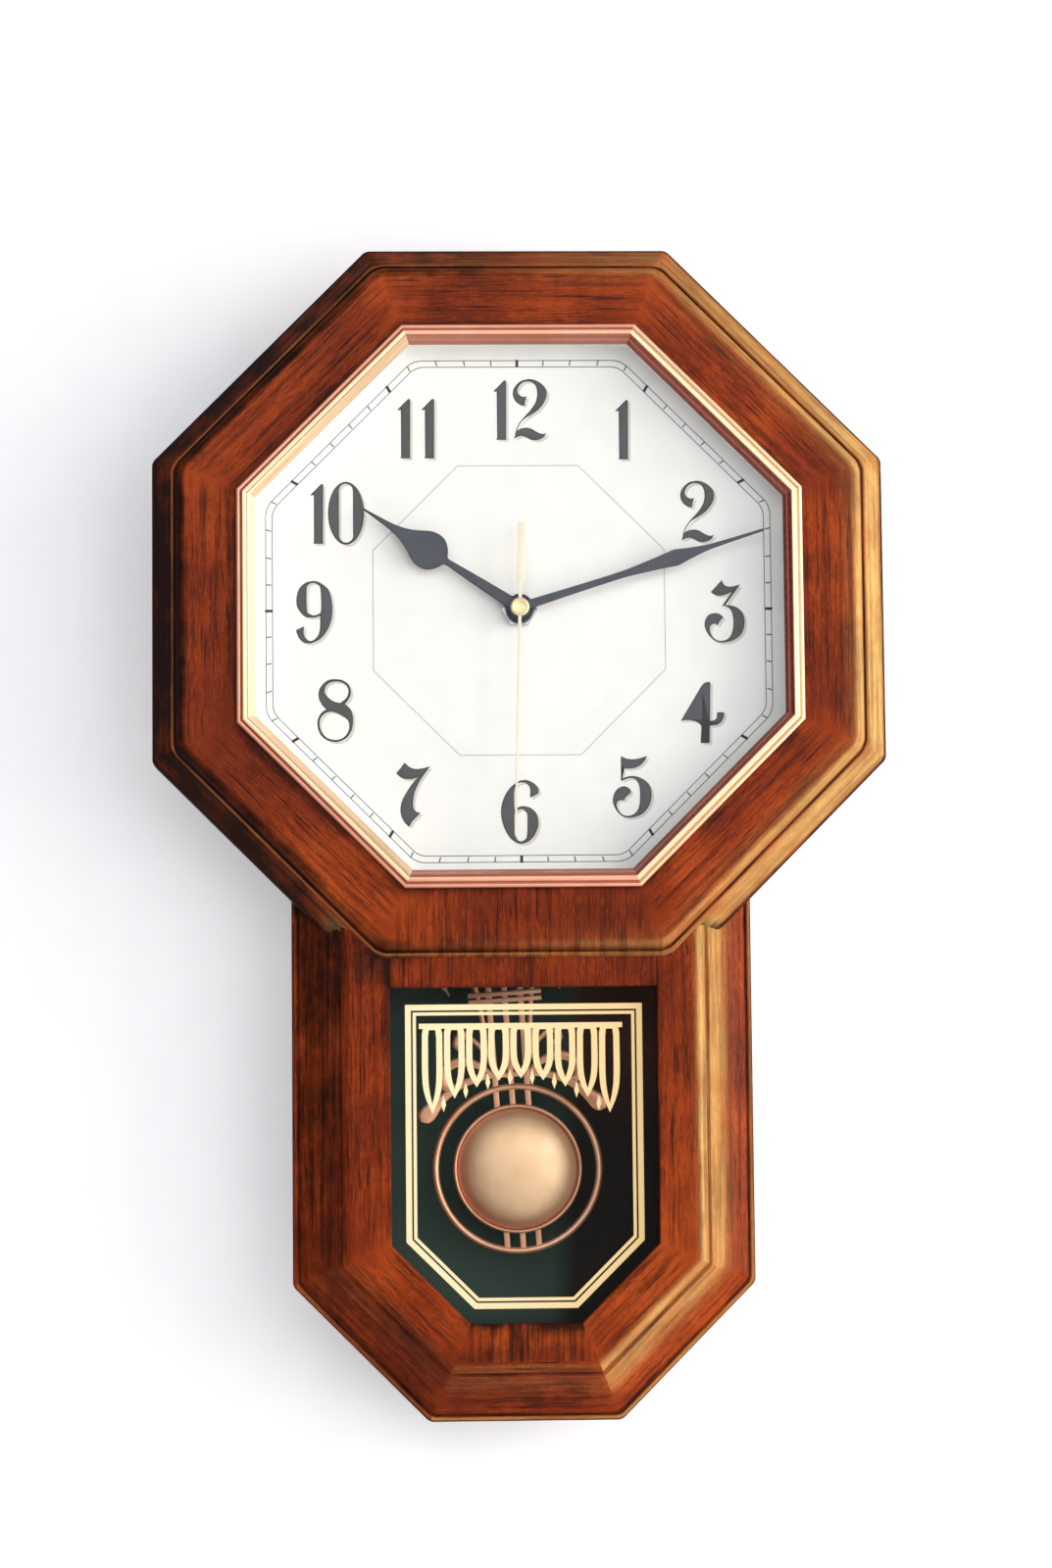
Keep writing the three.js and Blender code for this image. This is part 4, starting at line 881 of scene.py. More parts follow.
# Each digit is a list of outlines, the first one outside, drawn as smooth runs between corners
DIGITS = {
    "1": [[[(1.1, 12)], [(1.95, 12)], [(1.75, -10.9)], [(1.95, -11.5)], [(-2.1, -11.5)], [(-1.7, -10.8)],
           [(-1.7, 7.9)], [(-2.7, 7.4)], [(-2.9, 7.9)]]],
    "2": [[
        [(-0.2, 12.6), (2.1, 12.2), (4.6, 10.8), (6.3, 8.75), (6.75, 6.7), (6.3, 4.6), (5, 2.3), (2.9, 0),
         (0, -1.9), (-2.1, -3.2), (-3.75, -5), (-4.8, -7.1)],
        [(-5.1, -8.0), (-3.75, -7.2), (-1.7, -6.75), (0.4, -7.1), (2.5, -8.3), (4.2, -9.1), (5.6, -9.2)],
        [(6.5, -8.7), (5.8, -10), (4.6, -11), (2.5, -11.7), (0.4, -11.5), (-1.25, -10.6), (-3.3, -9.9),
         (-5, -10.4)],
        [(-6.2, -11.3), (-5.8, -9.6), (-5.4, -7.7), (-4.6, -5.8), (-2.9, -3.3), (-0.6, -0.8), (1.25, 1.5),
         (2.5, 3.75), (3, 6.25), (2.8, 8.75), (1.9, 10.6), (0, 11.6), (-2.3, 11.3), (-4.1, 9.8), (-4.8, 8.1),
         (-4.5, 6.8), (-3.3, 5.8), (-2.1, 5.5)],
        [(-1.0, 5.8), (-1.75, 4)],
        [(-2, 2), (-3.75, 2.4), (-5.5, 3.75), (-6.5, 6), (-6.3, 8.3), (-5, 10.4), (-2.9, 12)],
    ]],
    "3": [[
        [(-1.4, 12.9), (-0.9, 11.2), (1.2, 10.2), (3.5, 10.5)],
        [(5.7, 11.1)],
        [(-0.2, 3.0), (2.25, 2.7), (4.75, 1.7), (6.4, -0.2), (7.2, -2.9), (6.8, -6.25), (5.2, -9.2),
         (1.8, -11.2), (-1.9, -11.8), (-4.8, -10.9), (-7.1, -8.5), (-8.4, -5.6), (-8.2, -2.9), (-6.7, -0.8),
         (-4.4, -0.2), (-2.5, -0.6)],
        [(-1.2, -1.7), (-2.75, -3.75)],
        [(-3.5, -5), (-4.4, -4.25), (-5.9, -4.8), (-6.5, -6.25), (-6.2, -8.3), (-4.8, -10.2), (-2.75, -11.1),
         (-0.25, -10.8), (1.6, -9.2), (2.6, -6.25), (2.8, -2.9), (2.3, 0), (1.2, 1.8), (-0.5, 2.6)],
        [(-1.7, 2.3), (0, 4.8)],
        [(2.4, 8.3), (0.6, 7.4), (-1.9, 6.7), (-4, 6.9)],
        [(-5.9, 8.1), (-3.6, 10.6)],
    ]],
    "4": [[
        [(1.7, 12.7)], [(3.2, 12.7)], [(2.9, -2.5), (4.1, -2.4), (5.1, -1.9), (5.6, -0.8)], [(5.7, 0.8)],
        [(8.5, 0.8), (8.3, -0.9), (7.4, -2.7), (5.75, -4)], [(2.8, -4.4)], [(2.6, -11.2)], [(-0.9, -11.2)],
        [(-0.5, -4.6), (-1.75, -3.2), (-3.8, -2.4), (-6.75, -2.2)],
        [(-8.6, -2.6)], [(-0.5, 10.8), (0.6, 12.1)],
    ], [[(-0.5, 9.0)], [(-0.5, -1.9), (-2.2, -1.55), (-4.7, -1.45)], [(-7.4, -1.7)]]],
    "5": [[
        [(-4.2, 12.5), (-2.3, 11.6), (0, 11.2), (2.7, 11.5)],
        [(6.1, 12.5), (5, 10.6), (3.5, 9), (1.4, 7.9), (-1.1, 7.6)],
        [(-3.5, 7.8)],
        [(-3.5, 3.7), (-1.9, 4.4), (0.2, 4.7), (2.7, 4.25), (5.2, 2.9), (6.8, 1), (7.6, -1.7), (7.3, -5),
         (6, -7.9), (3.7, -10.2), (0.6, -11.4), (-2.3, -11.5), (-4.4, -10.6), (-6.3, -8.5), (-7.5, -5.4),
         (-7.1, -2.5), (-5.5, -0.2), (-3.2, 0.7), (-1.3, 0), (-0.5, -1.25), (-0.9, -2.3), (-2.3, -3.3)],
        [(-3.2, -4.9), (-4.4, -4.7), (-5.6, -5.2), (-6.1, -6.5), (-5.6, -8.3), (-4.2, -10.1), (-1.9, -10.9),
         (0.6, -10.2), (2.25, -8.3), (3, -5.4), (3.1, -1.7), (2.7, 1.25), (1.6, 3.1), (0, 3.9), (-2.3, 3.5)],
        [(-4.2, 2.7)],
    ]],
    "6": [[
        [(7.6, 7.4), (7.6, 8.75), (7, 10.2), (5.1, 11.8), (2.6, 12.6), (-0.1, 12.1), (-3, 10), (-5.3, 6.9),
         (-6.75, 2.9), (-7, -0.8), (-6.3, -4.6), (-4.7, -8.3), (-2.6, -10.9), (0.3, -12.2), (3.25, -11.5),
         (5.75, -9.2), (7.2, -6), (7.4, -3.3), (6.6, -0.4), (4.5, 1.7), (1.6, 2.4), (-0.5, 1.9)],
        [(-1.9, 1.1), (-1.9, 7.9), (-1.1, 10.4), (0.3, 11.5), (2.2, 11.6), (3.7, 10.6), (4.4, 8.75)],
        [(4.3, 5.6)],
    ], [[
        (-1.9, -0.4)], [(-1.9, -8.6), (-0.9, -10.6), (0.5, -11.3), (2.2, -10.6), (3, -8.75), (3.2, -1.7),
                        (2.6, 0.2), (1.2, 1.3), (-0.5, 0.8)]]],
    "7": [[
        [(-2.5, 12.6), (-0.7, 10.9), (1.6, 10.1), (4.3, 10.3)],
        [(7.5, 11.1), (5.6, 8.75), (3.1, 5), (1.4, 1.25), (0.7, -2.1), (0.7, -4.6), (1.2, -6),
         (2.25, -6.75)],
        [(3.5, -7), (1.8, -8.75), (0.2, -10.4)],
        [(-0.9, -12.5), (-2.75, -10.6), (-4, -7.9), (-4.2, -5), (-3.5, -2.1), (-1.7, 1.25), (0.6, 4.6)],
        [(2.6, 6.9), (0.6, 6.25), (-2.3, 6.25), (-4.4, 7.1)],
        [(-5.8, 8.5), (-4, 10.6)],
    ]],
    "8": [[
        [(-0.1, 12.7), (2.4, 12.3), (4.7, 10.8), (5.75, 8.1), (5.3, 5.4)],
        [(3.4, 2.9), (5.3, 1.25), (6.4, -1.25), (6.5, -4.6), (5.75, -7.9), (3.7, -10.6), (-0.1, -11.9),
         (-3.9, -10.9), (-6.3, -8.5), (-7.25, -5), (-6.75, -2.1), (-5.3, -0.1)],
        [(-3.8, 0.8), (-5.7, 3.1), (-6.75, 6), (-6.3, 9), (-4.4, 11.4), (-2.4, 12.5)],
    ], [
        [(-0.1, 11.8), (2, 11.5), (4, 10.2), (4.9, 8.1), (4.1, 5.4)], [(1.6, 3.3), (-0.9, 4), (-3.2, 5.6)],
        [(-4.5, 7.5), (-4, 9.8), (-2.4, 11.3)],
    ], [
        [(-2.2, 0), (-4.3, -0.7), (-5.9, -2.5), (-6.4, -5), (-5.7, -7.9), (-3.6, -10.2), (-0.1, -11.1),
         (2.8, -10.2), (4.7, -7.9), (5.1, -5.4), (4.5, -3.3), (2.4, -1.7), (-0.1, -0.4)],
    ]],
    "9": [[
        [(-0.75, 12.4), (1.4, 11.9), (3.9, 10.2), (5.4, 8.3), (6.4, 4.2), (6.6, 0.8), (6.2, -2.9),
         (4.75, -6.7), (2.25, -10), (-0.7, -11.8), (-3.2, -12.1), (-5, -11.6), (-6.7, -9.6)],
        [(-7.6, -6.9)],
        [(-4.4, -5.4), (-4.7, -7.9), (-4, -10), (-2.3, -11.2), (-0.7, -10.8), (1, -9), (1.75, -6.25)],
        [(1.85, -1.4), (0.2, -1.9), (-1.9, -2), (-4, -1.7), (-6.1, 0.4), (-7.25, 2.9), (-7.25, 6.25),
         (-6.1, 9.6), (-3.6, 11.75)],
    ], [[(-0.7, 11.6), (0.8, 11), (2, 9.2), (2.25, 1.25), (1.4, -0.5), (-0.7, -1.2), (-2.1, -0.6),
         (-3.3, 0.6), (-3.4, 9.2), (-2.5, 11)]]],
}
ZERO_OUTER = (7.0, 12.4)
ZERO_INNER = (2.75, 11.6)

# Each hour's numeral: where its digits' origins are on the dial
NUMERALS = [
    ("1", -6.26, 78.7), ("2", 4.87, 78.7), ("1", 41.5, 70.8), ("2", 70.1, 38.1), ("3", 80.9, -1.5),
    ("4", 71.1, -41.5), ("5", 43.2, -70.1), ("6", -0.8, -79.3), ("7", -42.6, -72.2), ("8", -71.6, -39.5),
    ("9", -79.4, -0.6), ("1", -78.1, 37.9), ("0", -67.3, 38.4), ("1", -43.9, 71.5), ("1", -34.5, 71.5),
]


def zero_contours():
    outer = [(ZERO_OUTER[0] * math.cos(a), ZERO_OUTER[1] * math.sin(a))
             for a in (math.tau * i / 64 for i in range(64))]
    half, tall = ZERO_INNER
    straight = tall - half
    inner = [(x, z + straight) for x, z in (polar(half, 180 * i / 16) for i in range(17))]
    inner += [(x, z - straight) for x, z in (polar(half, 180 + 180 * i / 16) for i in range(17))]
    return [outer, inner]


def digit_contours(digit):
    if digit == "0":
        return zero_contours()
    made = []
    for runs in DIGITS[digit]:
        whole = len(runs) == 1
        made.append(closed_spline(runs[0], 4) if whole else closed_runs(runs, 4))
    return made


def shifted(contours, dx, dz):
    return [[(x + dx, z + dz) for x, z in contour] for contour in contours]


def numerals():
    layers = {
        "numeral_shadows": (PRINT_SHADOW, 0, 0.95, -0.8, 0.0),
        "numeral_edges": (PRINT_BLACK, 1, 0, 0, 0.0),
        "numeral_faces": (PRINT_SLATE, 2, 0, 0, 0.36),
    }
    for name, (material, layer, dx, dz, shrink) in layers.items():
        back = DIAL_FACE - layer * PRINT
        plates = [plate_mesh(name, shifted(digit_contours(digit), x + dx, z + dz), back - PRINT, back,
                             shrink=shrink) for digit, x, z in NUMERALS]
        piece(name, joined(name, plates), "case", material)


def rounded_octagon(apothem, radius, steps=6):
    """An octagon whose corners are arcs of the given radius."""
    points = []
    for k in range(8):
        corner = 22.5 + 45 * k
        centre = polar((apothem - radius) / math.cos(math.pi / 8), corner)
        points += [polar(radius, corner - 22.5 + 45 * i / steps, centre) for i in range(steps + 1)]
    return points


def bar(middle, angle, length, width):
    """A short radial bar's outline, at an angle clockwise from twelve."""
    ux, uz = polar(1, 90 - angle)
    corners = rectangle(-length / 2, length / 2, -width / 2, width / 2)
    return [(middle[0] + ux * s - uz * t, middle[1] + uz * s + ux * t) for s, t in corners]


TRACK_OUTER, TRACK_INNER, TRACK_LINE = 98.8, 96.25, 0.32


def on_track(angle):
    """The middle of the minute track in a direction clockwise from twelve, and its radial width."""
    apothem = (TRACK_OUTER + TRACK_INNER) / 2
    away = math.remainder(math.radians(angle), math.pi / 4)
    radius = apothem / math.cos(away)
    return polar(radius, 90 - angle), (TRACK_OUTER - TRACK_INNER) / math.cos(away)


def minute_track():
    lines = []
    for apothem, radius in ((TRACK_OUTER, 9), (TRACK_INNER, 8)):
        lines.append([rounded_octagon(apothem, radius), rounded_octagon(apothem - TRACK_LINE, radius)])
    meshes = [plate_mesh("track", pair, DIAL_FACE - PRINT, DIAL_FACE) for pair in lines]
    inner = plate_mesh("inner_octagon", [octagon(57.1), octagon(56.75)], DIAL_FACE - PRINT, DIAL_FACE)
    bars = []
    for minute in range(60):
        middle, width = on_track(6 * minute)
        if minute % 5:
            meshes.append(plate_mesh("tick", [bar(middle, 6 * minute, width - 2 * TRACK_LINE, 0.5)],
                                     DIAL_FACE - PRINT, DIAL_FACE))
        else:
            bars.append(plate_mesh("bar", [bar(middle, 6 * minute, width + 0.3, 1.1)],
                                   DIAL_FACE - 2 * PRINT, DIAL_FACE))
    piece("minute_track", joined("minute_track", meshes), "case", PRINT_GREY)
    piece("inner_octagon", inner, "case", PRINT_PALE)
    piece("five_minute_bars", joined("five_minute_bars", bars), "case", PRINT_BLACK)


# ---- Hands ----
def hand_turn(angle):
    """The turn that carries a hand's own upright outline to where it points."""
    return Matrix.Rotation(-math.radians(angle), 4, "Z")


def mirrored(widths):
    """A closed outline from [along, half-width] pairs up one side."""
    return [(half, along) for along, half in widths] + [(-half, along) for along, half in reversed(widths)]


HOUR_ANGLE, MINUTE_ANGLE, SECOND_ANGLE = 302.9, 72.5, 181.6


def hour_hand():
    """A spade hand: a tapered stem, a round blade and a long point, paler inside a dark edge."""
    side = [
        [(0, 2.45), (16, 2.0), (33, 1.25)],
        [(34.2, 1.5), (35.2, 3.4), (36.6, 5.2), (38.4, 6.7), (40.6, 7.4), (43, 7.4), (45.5, 6.7), (48, 5.3),
         (51, 3.7), (55, 2.2), (60, 1.25), (66, 0.75), (72, 0.3)],
    ]
    outline = mirrored([point for run in side for point in spline(run, 4)])
    turn = hand_turn(HOUR_ANGLE)
    blade = plate_mesh("hour", [outline], 12.92, 13.6, bevel=0.12, turn=turn)
    disc = plate_mesh("hour", [circle((0, 0), 5.5), circle((0, 0), 2.62)], 12.9, 13.6, bevel=0.12)
    collar = plate_mesh("hour", [circle((0, 0), 5.2), circle((0, 0), 2.62)], 13.5, 15.2)
    face = plate_mesh("face", [outline], 12.88, 12.98, shrink=0.34, turn=turn)
    piece("hour_hand_blade", joined("hour_hand_blade", [blade, disc, collar]), "hour_work", HAND_EDGE,
          ["hour_hand"])
    piece("hour_hand_face", face, "hour_work", HAND_SLATE)


def minute_hand():
    """A lozenge hand with a crease down its middle."""
    side = [
        [(3.2, 1.75), (10, 1.65), (25, 1.4), (38, 1.3), (44, 1.4), (48, 1.7), (56.4, 2.4), (64, 3.25)],
        [(64, 3.25), (70, 2.1), (76.3, 1.2), (82.5, 0.85), (100, 0.5)],
    ]
    widths = [point for run in side for point in spline(run, 5)]
    ux, uz = polar(1, 90 - MINUTE_ANGLE)
    rows = []
    for s, half in widths:
        crease = 10.9 if half > 1.2 else 11.0
        edge = half * 0.86
        section = [(-half, 11.5), (-half, 11.12), (-edge, 11.02), (0, crease), (edge, 11.02),
                   (half, 11.12), (half, 11.5)]
        rows.append([place(ux * s - uz * t, uz * s + ux * t, depth) for t, depth in section])
    count = len(rows[0])
    blade = mesh_of("minute", [v for row in rows for v in row], tube_faces(count, len(rows)))
    disc = plate_mesh("minute", [circle((0, 0), 4.2), circle((0, 0), 1.72)], 10.88, 11.5, bevel=0.12)
    collar = plate_mesh("minute", [circle((0, 0), 2.8), circle((0, 0), 1.72)], 11.4, 12.5)
    piece("minute_hand_blade", joined("minute_hand_blade", [blade, disc, collar]), "minute_work", HAND_SLATE,
          ["minute_hand"], sharp=12)


def second_hand():
    widths = [(-33.5, 1.4), (-9.9, 1.4), (-9.8, 0.68), (20, 0.6), (60, 0.5), (88.9, 0.38)]
    needle = plate_mesh("needle", [mirrored(widths)], 9.5, 9.9, bevel=0.08, turn=hand_turn(SECOND_ANGLE))
    cap = turned_mesh("cap", [
        (0, 8.7), *spline([(2.5, 8.72), (2.8, 8.62), (3.2, 8.68), (3.5, 8.95), (3.6, 9.3)], 4), (3.6, 9.6),
        (1.3, 9.6), (1.3, 10.7), (0.62, 10.7), (0.62, 10.2), (0, 10.2)], sides=64)
    piece("second_needle", needle, "seconds_work", IVORY, ["second_hand"])
    piece("second_cap", cap, "seconds_work", CAP_GOLD)


# ---- Pendulum ----
BOB_CENTRE = (-2.0, -217.2)
TILT = 3.8
RING_RADIUS = 33.35
RING_HALF = 1.35
BOB_RADIUS = 25.15
RIM_START = 23.45
ROD_SPACING = 6.2
ROD_HALF = 1.15
BAR_HALF = 14.5
HOLE_SPACING = 10.88
TOP_BAR = 133.8
ROD_FRONT, ROD_BACK = 41.8, 43.4


def lean(x, z):
    """From the ornament's own upright millimetres to its leaning place."""
    ux, uz = polar(1, TILT)
    return BOB_CENTRE[0] + x * ux - z * uz, BOB_CENTRE[1] + x * uz + z * ux


def strand_mesh(points, widths, front, back, steps=6, sides=12):
    """A cast strand with an oval section and varying width, along a smooth curve."""
    path = spline(points, steps)
    halves = [w for (w,) in spline([(w,) for w in widths], steps)]
    rows = []
    for i, (x, z) in enumerate(path):
        x0, z0 = path[max(i - 1, 0)]
        x1, z1 = path[min(i + 1, len(path) - 1)]
        length = math.hypot(x1 - x0, z1 - z0) or 1
        nx, nz = -(z1 - z0) / length, (x1 - x0) / length
        middle, thick = (front + back) / 2, (back - front) / 2
        row = []
        for k in range(sides):
            a = math.tau * k / sides
            offset = halves[i] * math.cos(a)
            row.append(place(*lean(x + nx * offset, z + nz * offset), middle - thick * math.sin(a)))
        rows.append(row)
    return mesh_of("strand", [v for row in rows for v in row], tube_faces(sides, len(rows)))


STRANDS = [
    ([(1, 36.6), (-9, 37), (-19, 34.4), (-26, 30.2), (-30.4, 26.6), (-33.2, 24), (-35.4, 21.9), (-36.3, 21)],
     [1.1, 1.5, 1.6, 1.7, 2.6, 3.3, 2.6, 0.4]),
    ([(-7, 37), (-13, 41.5), (-20.5, 43), (-26.2, 39.5), (-26, 33.8), (-21, 33.2), (-19.6, 37)],
     [1, 1.5, 1.9, 1.8, 1.6, 1.3, 1.4]),
    ([(-5, 37), (-8.6, 45), (-9, 54), (-10.6, 68), (-13.6, 82), (-19, 92), (-25.6, 92.6), (-27.8, 85),
      (-25, 76), (-21.6, 69)], [1.1, 1.1, 1.1, 1.1, 1.3, 1.6, 1.8, 1.8, 1.5, 0.3]),
    ([(-8.8, 45.5), (-13, 50.5), (-18, 53.5), (-20.6, 50), (-17.6, 47.6)], [0.8, 1.1, 1.4, 1.3, 1.4]),
]


def pendulum_ornament():
    """Three rods, two bars, the hanging bar, the ring and the lyre's strands, cast in one."""
    turn = Matrix.Translation((BOB_CENTRE[0] * MM, BOB_CENTRE[1] * MM, 0))
    turn = turn @ Matrix.Rotation(math.radians(TILT), 4, "Z")

    def cast(contours, front=ROD_FRONT, bevel=0.0):
        return plate_mesh("cast", contours, front, ROD_BACK, bevel=bevel, turn=turn)

    parts = []
    for x in (-ROD_SPACING, 0, ROD_SPACING):
        foot = -math.sqrt((RING_RADIUS - 1) ** 2 - x * x)
        parts.append(cast([rectangle(x - ROD_HALF, x + ROD_HALF, foot, TOP_BAR)], bevel=0.3))
    for z in (66, 68.6):
        parts.append(cast([rectangle(-BAR_HALF, BAR_HALF, z - 0.95, z + 0.95)], ROD_FRONT - 0.5, 0.35))
    holes = [circle((x, TOP_BAR - 0.03), 1.08, 24) for x in (-HOLE_SPACING, 0, HOLE_SPACING)]
    parts.append(cast([rectangle(-BAR_HALF, BAR_HALF, TOP_BAR - 3, TOP_BAR + 3), *holes]))
    ring = [(RING_RADIUS - RING_HALF + RING_HALF * math.cos(a), 42.6 + 1.6 * math.sin(a))
            for a in (math.tau * i / 16 for i in range(16))]
    parts.append(turned_mesh("ring", [*ring, ring[0]], BOB_CENTRE, 128))
    for points, widths in STRANDS:
        for side in (1, -1):
            parts.append(strand_mesh([(side * x, z) for x, z in points], widths, ROD_FRONT, ROD_BACK))
    mesh = joined("pendulum_ornament", parts)
    store_tone(mesh, [(0, 0, 0)] * len(mesh.vertices))
    piece("pendulum_ornament", mesh, "pendulum", ROSE_COPPER, ["pendulum_frame"], sharp=35)


def pendulum_disc():
    """A domed bob, hollow behind, whose rim outside a dark groove is copper like the ornament."""
    dome = spline([(0.001, 34.6), (7, 34.9), (12, 35.6), (16, 36.7), (19, 38), (21, 39.2), (22.4, 40.2),
                   (23, 40.5)], 6)
    rim = spline([(23.5, 39.4), (23.75, 38.6), (24.3, 38.15), (24.8, 38.3), (BOB_RADIUS, 39)], 4)
    pressed_back = [(22.8, 41.4), (20.6, 40.4), (18.5, 39.1), (15.6, 37.8), (11.8, 36.7), (6.9, 35.9),
                    (0, 35.6)]
    profile = [(0, 34.6), *dome[1:], (23.4, 40.4), *rim, (BOB_RADIUS, 41.4), *pressed_back]
    mesh = turned_mesh("bob", profile, BOB_CENTRE, 128)
    centre = place(*BOB_CENTRE, 0)
    tones = []
    for vertex in mesh.vertices:
        across, up = (vertex.co.x - centre.x) / MM, (vertex.co.z - centre.z) / MM
        radius = math.hypot(across, up)
        low_left_shade = max(0, -across - up) / max(radius, 1) / math.sqrt(2)
        # Painted shade: darker towards the dome's edge, in the groove before the rim and on the lower left
        dark = 0.5 * plateau(radius, 20.8, 23.3, 0.8) + 0.95 * peak(radius, 23.35, 0.45)
        dark += 0.4 * low_left_shade * plateau(radius, 17, 23.3, 1.5)
        tones.append((min(1, dark), 0, 0))
    store_tone(mesh, tones)
    piece("pendulum_disc", mesh, "pendulum", BOB_GOLD, ["pendulum_bob"], sharp=35)
    mesh.materials.append(ROSE_COPPER)
    for polygon in mesh.polygons:
        radius = math.dist((polygon.center.x, polygon.center.z), (centre.x, centre.z)) / MM
        polygon.material_index = 1 if radius > RIM_START else 0


# ---- Print on the drop's glass ----
GLASS_FRONT = 15.0


def border_outline(inset):
    """The gold border, with cut lower corners, at an inset from its outer edge."""
    half, top = 45.7 - inset, -153.7 - inset
    low, bottom = -244.6 + inset * TAN_MITRE, -270.2 + inset
    half_bottom = 19.8 - inset * TAN_MITRE
    side = [(half, top), (half, low), (half_bottom, bottom)]
    return [(half, top), *[(-x, z) for x, z in side], *side[:0:-1]]


ORNAMENT_LEFT, ORNAMENT_RIGHT, ORNAMENT_TOP = -39.6, 37.2, -161.0
ORNAMENT_BAND = 2.0
LOOPS = 9
LOOP_STROKE = 2.35


def lancet(x, top, height, half):
    """A tall closed arch with a point at its foot."""
    side = [(half, -height * 0.1), (half, -height * 0.58), (half * 0.72, -height * 0.8), (0, -height)]
    curve = [(half * 0.8, 0), *spline(side, 5)]
    return [(x + px, top + pz) for px, pz in curve + [(-px, pz) for px, pz in reversed(curve[:-1])]]


def ornament():
    """A fretwork frieze: pointed loops under a straight band, longer towards both ends, with darts.

    Each outline comes with its layer, so that those which cross don't lie in one plane.
    """
    spacing = (ORNAMENT_RIGHT - ORNAMENT_LEFT) / LOOPS
    half = spacing / 2 - 0.35
    band = rectangle(ORNAMENT_LEFT - 0.8, ORNAMENT_RIGHT + 0.8, ORNAMENT_TOP - ORNAMENT_BAND, ORNAMENT_TOP)
    made = [(3, [band])]
    for i in range(LOOPS):
        x = ORNAMENT_LEFT + spacing * (i + 0.5)
        height = 20.8 + 17 * (2 * (i + 0.5) / LOOPS - 1) ** 2
        top = ORNAMENT_TOP - 0.5
        hole = lancet(x, top - ORNAMENT_BAND, height - ORNAMENT_BAND - 3.4, half - LOOP_STROKE)
        made.append((1 + i % 2, [lancet(x, top, height, half), hole]))
    for i in range(1, LOOPS):
        x = ORNAMENT_LEFT + spacing * i
        foot = ORNAMENT_TOP - 22.5 - 17 * (2 * i / LOOPS - 1) ** 2
        dart = [(x, foot + 5.2), (x - 0.95, foot + 1.6), (x, foot - 1.2), (x + 0.95, foot + 1.6)]
        made.append((1, [dart]))
    return made


def glass_print():
    back = GLASS_FRONT - 0.02
    layers = []
    for outer, width in ((0, 2.25), (2.95, 1.25)):
        layers.append(plate_mesh("border", [border_outline(outer), border_outline(outer + width)],
                                 back - PRINT, back))
    piece("window_border", joined("window_border", layers), "case", PRINT_GOLD)
    meshes = [plate_mesh("motif", contours, back - PRINT * layer, back) for layer, contours in ornament()]
    piece("window_ornament", joined("window_ornament", meshes), "case", PRINT_GOLD)


# ---- Finishes of the CAD nodes that stay as they are ----
NODE_FINISHES = {
    "case_head_top": CASE_WOOD_LEVEL, "case_drop_bottom": CASE_WOOD_LEVEL, "back_board": HARDBOARD,
    "drop_backing_card": CARD, "hanger_plate": STEEL, "hanger_screw_left": STEEL,
    "hanger_screw_right": STEEL, "dial_glass": GLASS, "dial_tray": DIAL_WHITE, "drop_glass": GLASS,
    "movement_case": BLACK_PLASTIC, "movement_cover": BLACK_PLASTIC, "shaft_nut": STEEL,
    "battery": BATTERY, "battery_contact_negative": STEEL, "circuit_board": CIRCUIT,
    "motor_coil": COPPER_WIRE, "stator": STEEL, "pendulum_coil": COPPER_WIRE, "rotor": MAGNET,
    "reduction_wheel": WHITE_PLASTIC, "seconds_wheel": WHITE_PLASTIC, "third_wheel": WHITE_PLASTIC,
    "centre_wheel": WHITE_PLASTIC, "minute_pipe": BRASS, "motion_wheel": WHITE_PLASTIC,
    "set_knob": BLACK_PLASTIC, "hour_wheel": WHITE_PLASTIC, "drive_arm": WHITE_PLASTIC,
    "drive_magnet": MAGNET,
}


def finish_nodes():
    for name, node in frame["nodes"].items():
        material = NODE_FINISHES.get(name)
        if material is None and name.startswith("case_"):
            material = CASE_WOOD_UP
        if material is None:
            continue
        node.data.materials.clear()
        node.data.materials.append(material)


# ---- Stage ----
def stage():
    """A white wall just behind the clock, which is clear from behind, and a pale floor well below."""
    paint = Shader("wall_paint")
    fine = paint.noise(paint.where(), scale=60.0, detail=4)
    paint.set(colour=paint.ramp(fine, [(0.3, srgb(220, 219, 222)), (0.7, srgb(224, 223, 226))]),
              roughness=0.95, specular=0.1, glow=(0.97, 0.97, 1.0, 1), glow_strength=0.34)
    clear = paint.node("BsdfTransparent")
    back = paint.node("NewGeometry").outputs["Backfacing"]
    blend = paint.node("MixShader", {0: back})
    paint.feed(blend.inputs[1], paint.surface.outputs[0])
    paint.feed(blend.inputs[2], clear.outputs[0])
    paint.feed(paint.tree.nodes["Material Output"].inputs["Surface"], blend.outputs[0])
    floor_shader = Shader("floor_paint")
    fine = floor_shader.noise(floor_shader.where(), scale=30.0, detail=4)
    greys = [(0.3, srgb(238, 238, 238)), (0.7, srgb(244, 244, 244))]
    floor_shader.set(colour=floor_shader.ramp(fine, greys), roughness=0.85)
    reach, low, high = 6.0, -1.2, 4.0
    wall_y = cad_box[1].y + 0.001
    corners = {
        "wall": [(x, wall_y, z) for x, z in rectangle(-reach, reach, low, high)],
        "floor": [(x, y, low) for x, y in rectangle(-reach, reach, -reach, reach)],
    }
    made = {name: linked(name, mesh_of(name, corners[name], [[0, 1, 2, 3]])) for name in corners}
    made["wall"].data.materials.append(paint.material)
    made["floor"].data.materials.append(floor_shader.material)
    for seen_by in ("visible_shadow", "visible_diffuse", "visible_glossy"):
        setattr(made["wall"], seen_by, False)


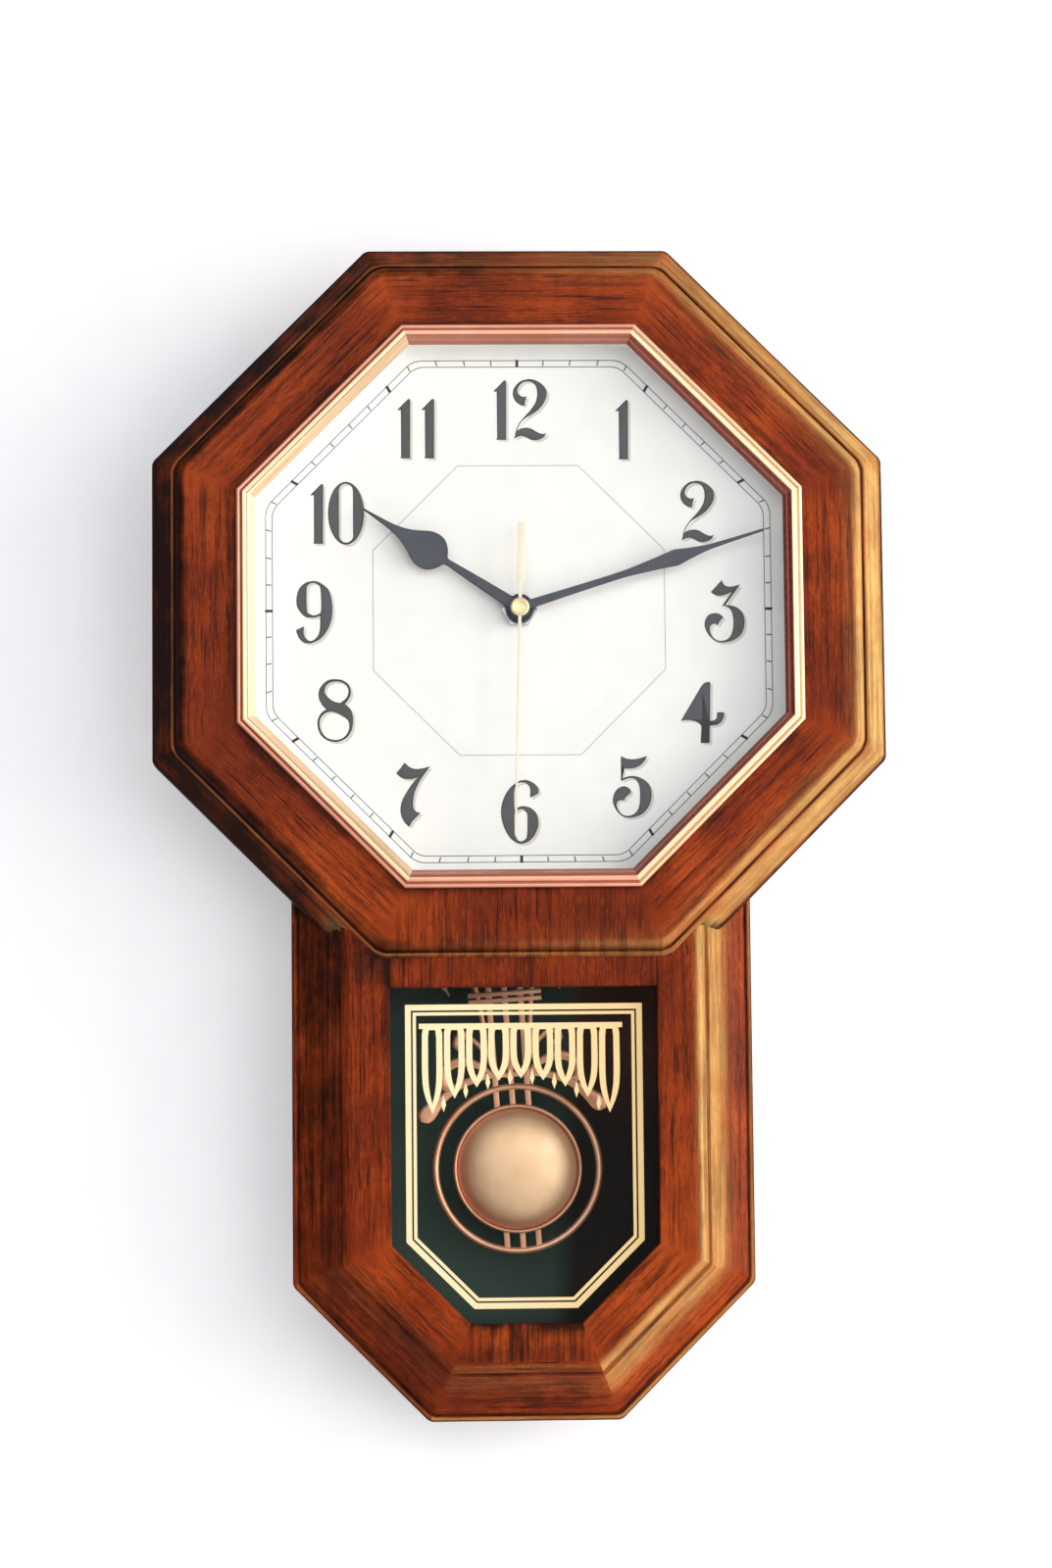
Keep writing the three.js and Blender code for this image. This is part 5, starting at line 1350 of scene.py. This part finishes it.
def area_light(name, azimuth, height, distance, size, power, colour=(1, 1, 1)):
    """A softbox at an azimuth to the right of straight ahead, aimed at the clock's middle."""
    middle = Vector((0, -0.04, -0.13))
    turn = math.radians(azimuth)
    location = middle + Vector((distance * math.sin(turn), -distance * math.cos(turn), height))
    data = bpy.data.lights.new(name, "AREA")
    data.shape = "RECTANGLE"
    data.size, data.size_y = size
    data.energy = power
    data.color = colour
    made = linked(name, data)
    made.location = location
    made.rotation_mode = "QUATERNION"
    made.rotation_quaternion = (middle - location).to_track_quat("-Z", "Y")


def lights():
    area_light("key", 34, 0.1, 1.9, (1.5, 1.4), 18, (1.0, 0.985, 0.96))
    area_light("side", 70, 0.05, 1.5, (1.0, 1.5), 24, (1.0, 0.95, 0.86))
    area_light("fill", -8, 0.7, 2.4, (1.6, 1.2), 13)
    area_light("behind", 180, 0.4, 2.2, (1.5, 1.5), 14)
    scene = bpy.context.scene
    scene.world = bpy.data.worlds.new("studio")
    scene.world.use_nodes = True
    background = scene.world.node_tree.nodes["Background"]
    background.inputs["Color"].default_value = (0.93, 0.95, 1.0, 1)
    background.inputs["Strength"].default_value = 0.3
    scene.view_settings.view_transform = "Standard"


# ---- Camera ----
CAMERA_PLACE = (-49.3, -195.0, -1420.4)
CAMERA_ANGLES = (5.03, -2.04, -0.57)  # pitch, yaw and roll


def camera():
    """The photograph's view: from below the dial's height, a little to the left, looking up."""
    data = bpy.data.cameras.new("camera")
    data.lens = 85.38
    data.sensor_width = 36
    data.sensor_fit = "AUTO"
    data.clip_start, data.clip_end = 0.05, 50
    made = linked("camera", data)
    pitch, yaw, roll = (math.radians(angle) for angle in CAMERA_ANGLES)
    forward = Vector((-math.cos(pitch) * math.sin(yaw), math.cos(pitch) * math.cos(yaw), math.sin(pitch)))
    level = Vector((math.cos(yaw), math.sin(yaw), 0))
    upright = level.cross(forward)
    right = math.cos(roll) * level + math.sin(roll) * upright
    up = -math.sin(roll) * level + math.cos(roll) * upright
    turn = Matrix((right, up, -forward)).transposed()
    made.matrix_world = Matrix.Translation(place(*CAMERA_PLACE)) @ turn.to_4x4()
    bpy.context.scene.camera = made


camera()
wooden_head()
wooden_drop()
bezel()
numerals()
minute_track()
hour_hand()
minute_hand()
second_hand()
pendulum_ornament()
pendulum_disc()
glass_print()
finish_nodes()
stage()
lights()
